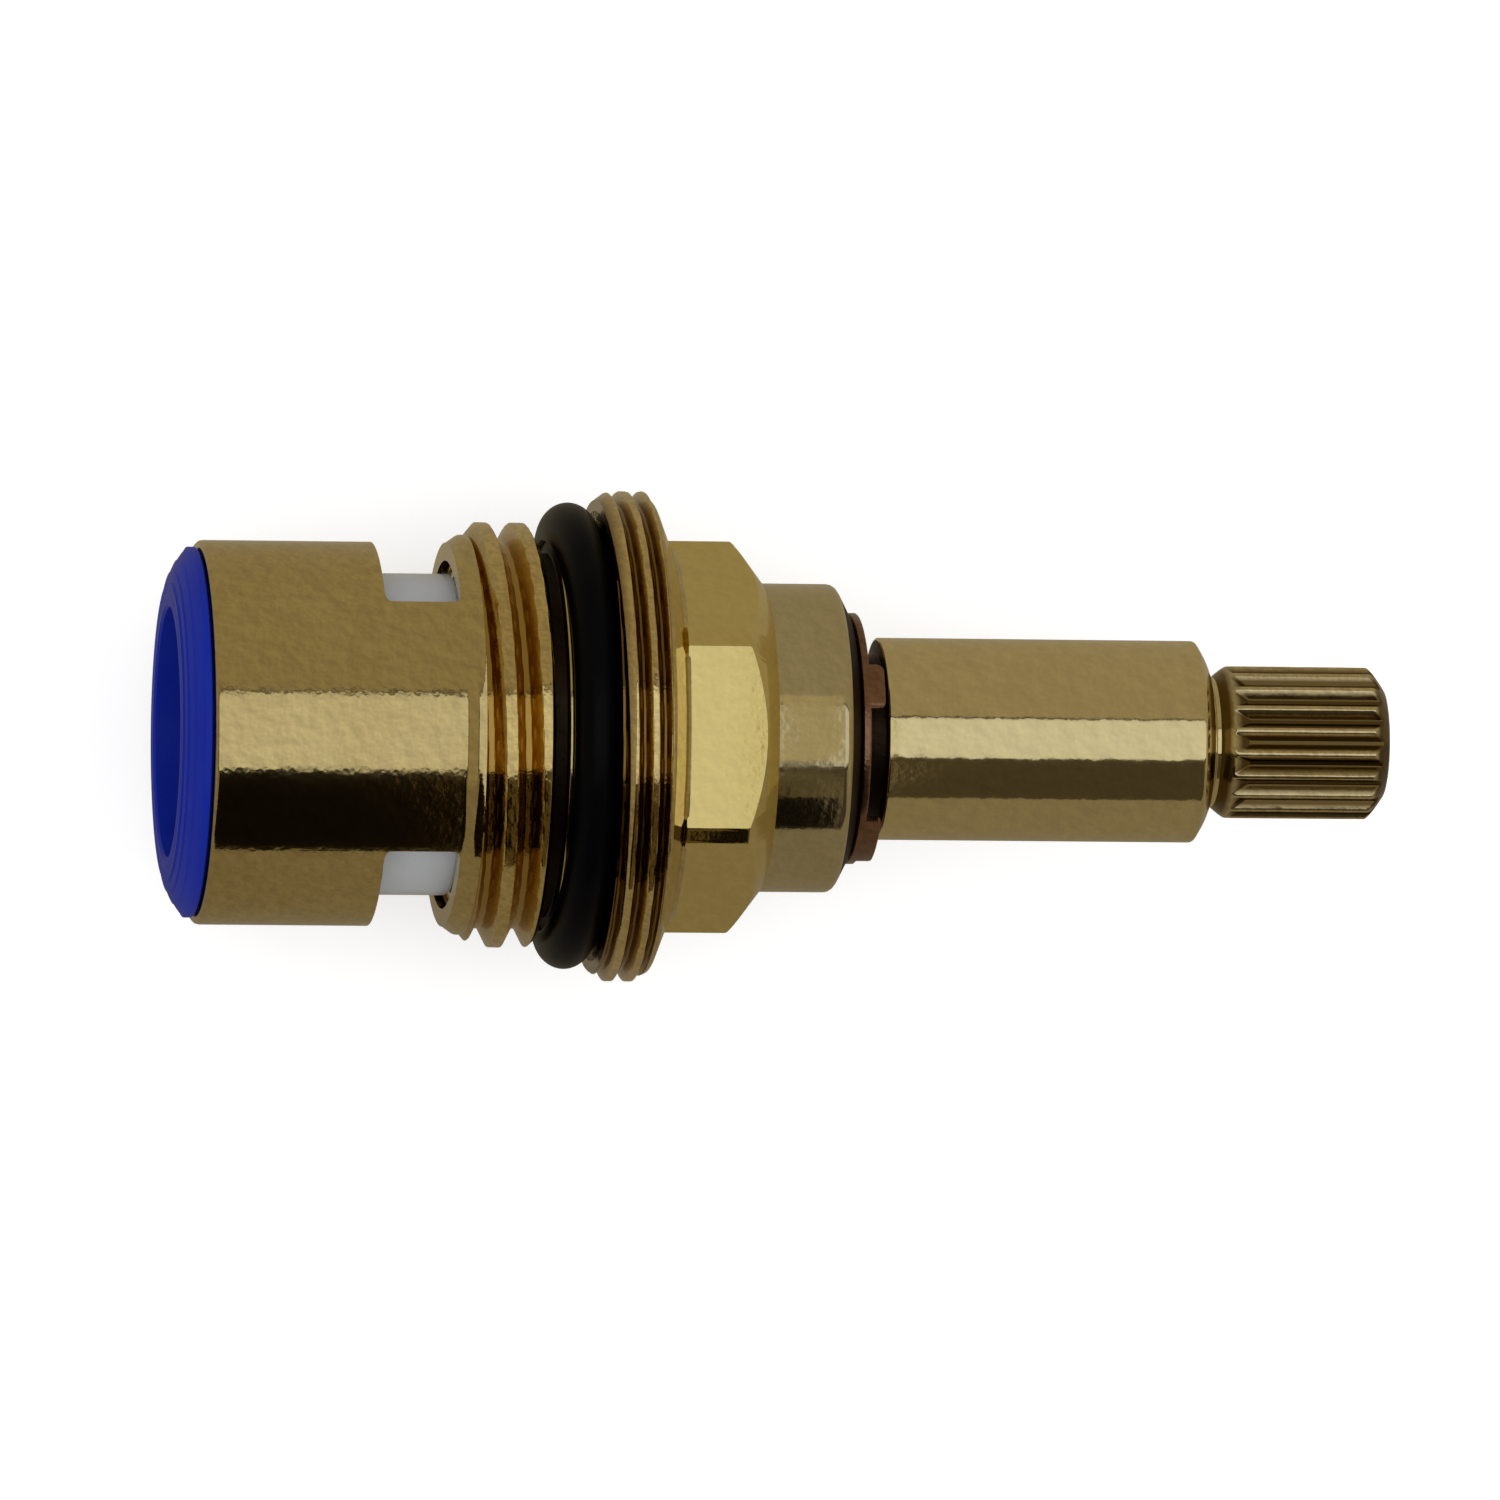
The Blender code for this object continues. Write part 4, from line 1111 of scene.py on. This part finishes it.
def any_view_ray(tree):
    """One where the camera, or a reflection or refraction, looks at the surface."""
    rays = node(tree, "ShaderNodeLightPath").outputs
    seen = maths(tree, "ADD", rays["Is Camera Ray"], rays["Is Glossy Ray"])
    return maths(tree, "ADD", seen, rays["Is Transmission Ray"], clamp=True)


def make_world():
    """White surroundings: full to the camera and in reflections, dimmer as light on the object."""
    world = bpy.data.worlds.new("studio")
    world.use_nodes = True
    bpy.context.scene.world = world
    tree = world.node_tree
    background = tree.nodes["Background"]
    background.inputs["Color"].default_value = (1, 1, 1, 1)
    strength = maths(tree, "MULTIPLY_ADD", any_view_ray(tree), 1 - WORLD_LIGHT, WORLD_LIGHT)
    tree.links.new(strength, background.inputs["Strength"])


def card(name, corners, colour, light=0.0, reflected_only=True):
    """A flat staged card from its corners in metres."""
    mesh = bpy.data.meshes.new(name)
    mesh.from_pydata(corners, [], [tuple(range(len(corners)))])
    material, _, shader = new_material(name)
    shader.inputs["Base Color"].default_value = (*colour, 1) if not light else (0, 0, 0, 1)
    shader.inputs["Roughness"].default_value = 0.9
    shader.inputs["Specular IOR Level"].default_value = 0.0
    shader.inputs["Emission Color"].default_value = (*colour, 1)
    shader.inputs["Emission Strength"].default_value = light
    piece = new_piece(name, mesh, material)
    if reflected_only:
        piece.visible_camera = False
        piece.visible_diffuse = False
        piece.visible_shadow = False
    return piece


def make_floor():
    """The white table under the object, lifted a little towards white where it is looked at."""
    signs = ((-1, -1), (1, -1), (1, 1), (-1, 1))
    corners = [(x * FLOOR_REACH, y * FLOOR_REACH, FLOOR_HEIGHT) for x, y in signs]
    floor = card("floor", corners, FLOOR_WHITE, reflected_only=False)
    tree = floor.active_material.node_tree
    shader = tree.nodes["Principled BSDF"]
    shader.inputs["Emission Color"].default_value = (1, 1, 1, 1)
    lift = maths(tree, "MULTIPLY", any_view_ray(tree), FLOOR_LIFT)
    tree.links.new(lift, shader.inputs["Emission Strength"])


def mirrored(station, radius, normal_angle, above):
    """Where a card beside or above the object shows in the brass, by the spot and its normal's angle."""
    turn = math.radians(normal_angle)
    if above:
        reach = (CARD_AWAY - radius * MM * math.cos(turn)) / math.cos(2 * turn)
    else:
        reach = (CARD_AWAY - radius * MM * math.sin(turn)) / math.sin(2 * turn)
    x = x_at(station)
    return (
        x + reach * (CAMERA_DISTANCE * math.tan(CAMERA_TILT) + x) / CAMERA_DISTANCE,
        -radius * MM * math.sin(turn) - reach * math.sin(2 * turn),
        radius * MM * math.cos(turn) + reach * math.cos(2 * turn),
    )


def mirror_card(name, stations, radius, angles, colour, light=1.0, above=False):
    """A card that shows between two stations of the brass and between two angles of its normal."""
    corners = [
        (stations[0], angles[0]), (stations[1], angles[0]), (stations[1], angles[1]), (stations[0], angles[1])
    ]
    card(name, [mirrored(station, radius, angle, above) for station, angle in corners], colour, light)


def make_cards():
    """Cards that the brass mirrors: dark ones beside it, and a warm tent all round."""
    mirror_card("tube_black_card", TUBE_ZONE, TUBE_RADIUS, TUBE_BLACK_ANGLES, BLACK, 0.0)
    mirror_card("thread_dim_card", THREAD_ZONE, LOWER_THREAD_RADIUS, THREAD_DIM_ANGLES, THREAD_DIM)
    mirror_card("hexagon_black_card", HEXAGON_ZONE, HEX_CORNER_RADIUS, HEXAGON_BLACK_ANGLES, BLACK, 0.0)
    mirror_card("neck_black_card", NECK_ZONE, NECK_RADIUS, NECK_BLACK_ANGLES, BLACK, 0.0)
    mirror_card("neck_dim_card", NECK_ZONE, NECK_RADIUS, NECK_DIM_ANGLES, NECK_DIM)
    mirror_card("neck_band_card", NECK_ZONE, NECK_RADIUS, NECK_BAND_ANGLES, NECK_BAND, above=True)
    mirror_card("shaft_dim_card", SHAFT_ZONE, SPINDLE_RADIUS, SHAFT_DIM_ANGLES, DIM)

    low = FLOOR_HEIGHT + 0.0005
    wide, deep, high = TENT

    def wall(first, last):
        """The corners of an upright card between two places on the floor."""
        return [(*first, low), (*last, low), (*last, high), (*first, high)]

    def level(near, far, height):
        """The corners of a level card as wide as the tent."""
        return [(-wide, near, height), (wide, near, height), (wide, far, height), (-wide, far, height)]

    card("warm_front", wall((-wide, -deep), (wide, -deep)), WARM_FRONT, 1.0)
    card("warm_near_table", level(-deep, 0, low), WARM_FRONT, 1.0)
    card("warm_back", wall((-wide, deep), (wide, deep)), WARM, 1.0)
    card("warm_left", wall((-wide, -deep), (-wide, deep)), WARM, 1.0)
    card("warm_right", wall((wide, -deep), (wide, deep)), WARM, 1.0)
    card("warm_far_table", level(0, deep, low), WARM, 1.0)
    card("tent_roof", level(-deep, deep, high), BLACK)


def make_softbox():
    """The lamp above the object, long along it."""
    light = bpy.data.lights.new("softbox", "AREA")
    light.shape = "RECTANGLE"
    light.size, light.size_y = SOFTBOX_SIZE
    light.energy = SOFTBOX_ENERGY
    softbox = bpy.data.objects.new("softbox", light)
    bpy.context.scene.collection.objects.link(softbox)
    softbox.location = SOFTBOX_PLACE
    softbox.visible_camera = False


def make_camera():
    """The photograph's view from above: leant towards the seat end and rolled a little."""
    back = Vector((-math.sin(CAMERA_TILT), 0, math.cos(CAMERA_TILT)))
    right = Vector((math.cos(CAMERA_TILT), 0, math.sin(CAMERA_TILT)))
    up = Vector((0, 1, 0))
    aim = right * CAMERA_AIM[0] + up * CAMERA_AIM[1]
    turned_right = right * math.cos(CAMERA_ROLL) + up * math.sin(CAMERA_ROLL)
    turned_up = up * math.cos(CAMERA_ROLL) - right * math.sin(CAMERA_ROLL)
    lens = bpy.data.cameras.new("camera")
    lens.sensor_width = SENSOR
    lens.lens = SENSOR * CAMERA_DISTANCE / FRAME_WIDTH
    lens.clip_start = 0.01
    camera = bpy.data.objects.new("camera", lens)
    bpy.context.scene.collection.objects.link(camera)
    axes = Matrix((turned_right, turned_up, back)).transposed().to_4x4()
    camera.matrix_world = Matrix.Translation(aim + back * CAMERA_DISTANCE) @ axes
    bpy.context.scene.camera = camera


make_camera()
make_world()
make_floor()
make_cards()
make_softbox()
make_bonnet()
make_threads()
make_hexagon()
make_flange_ring()
make_stem_rings()
make_seal()
make_turning_disc()
make_spindle()
make_spline()
make_clip()
finish_hidden_nodes()

bpy.context.scene.view_settings.view_transform = "Standard"
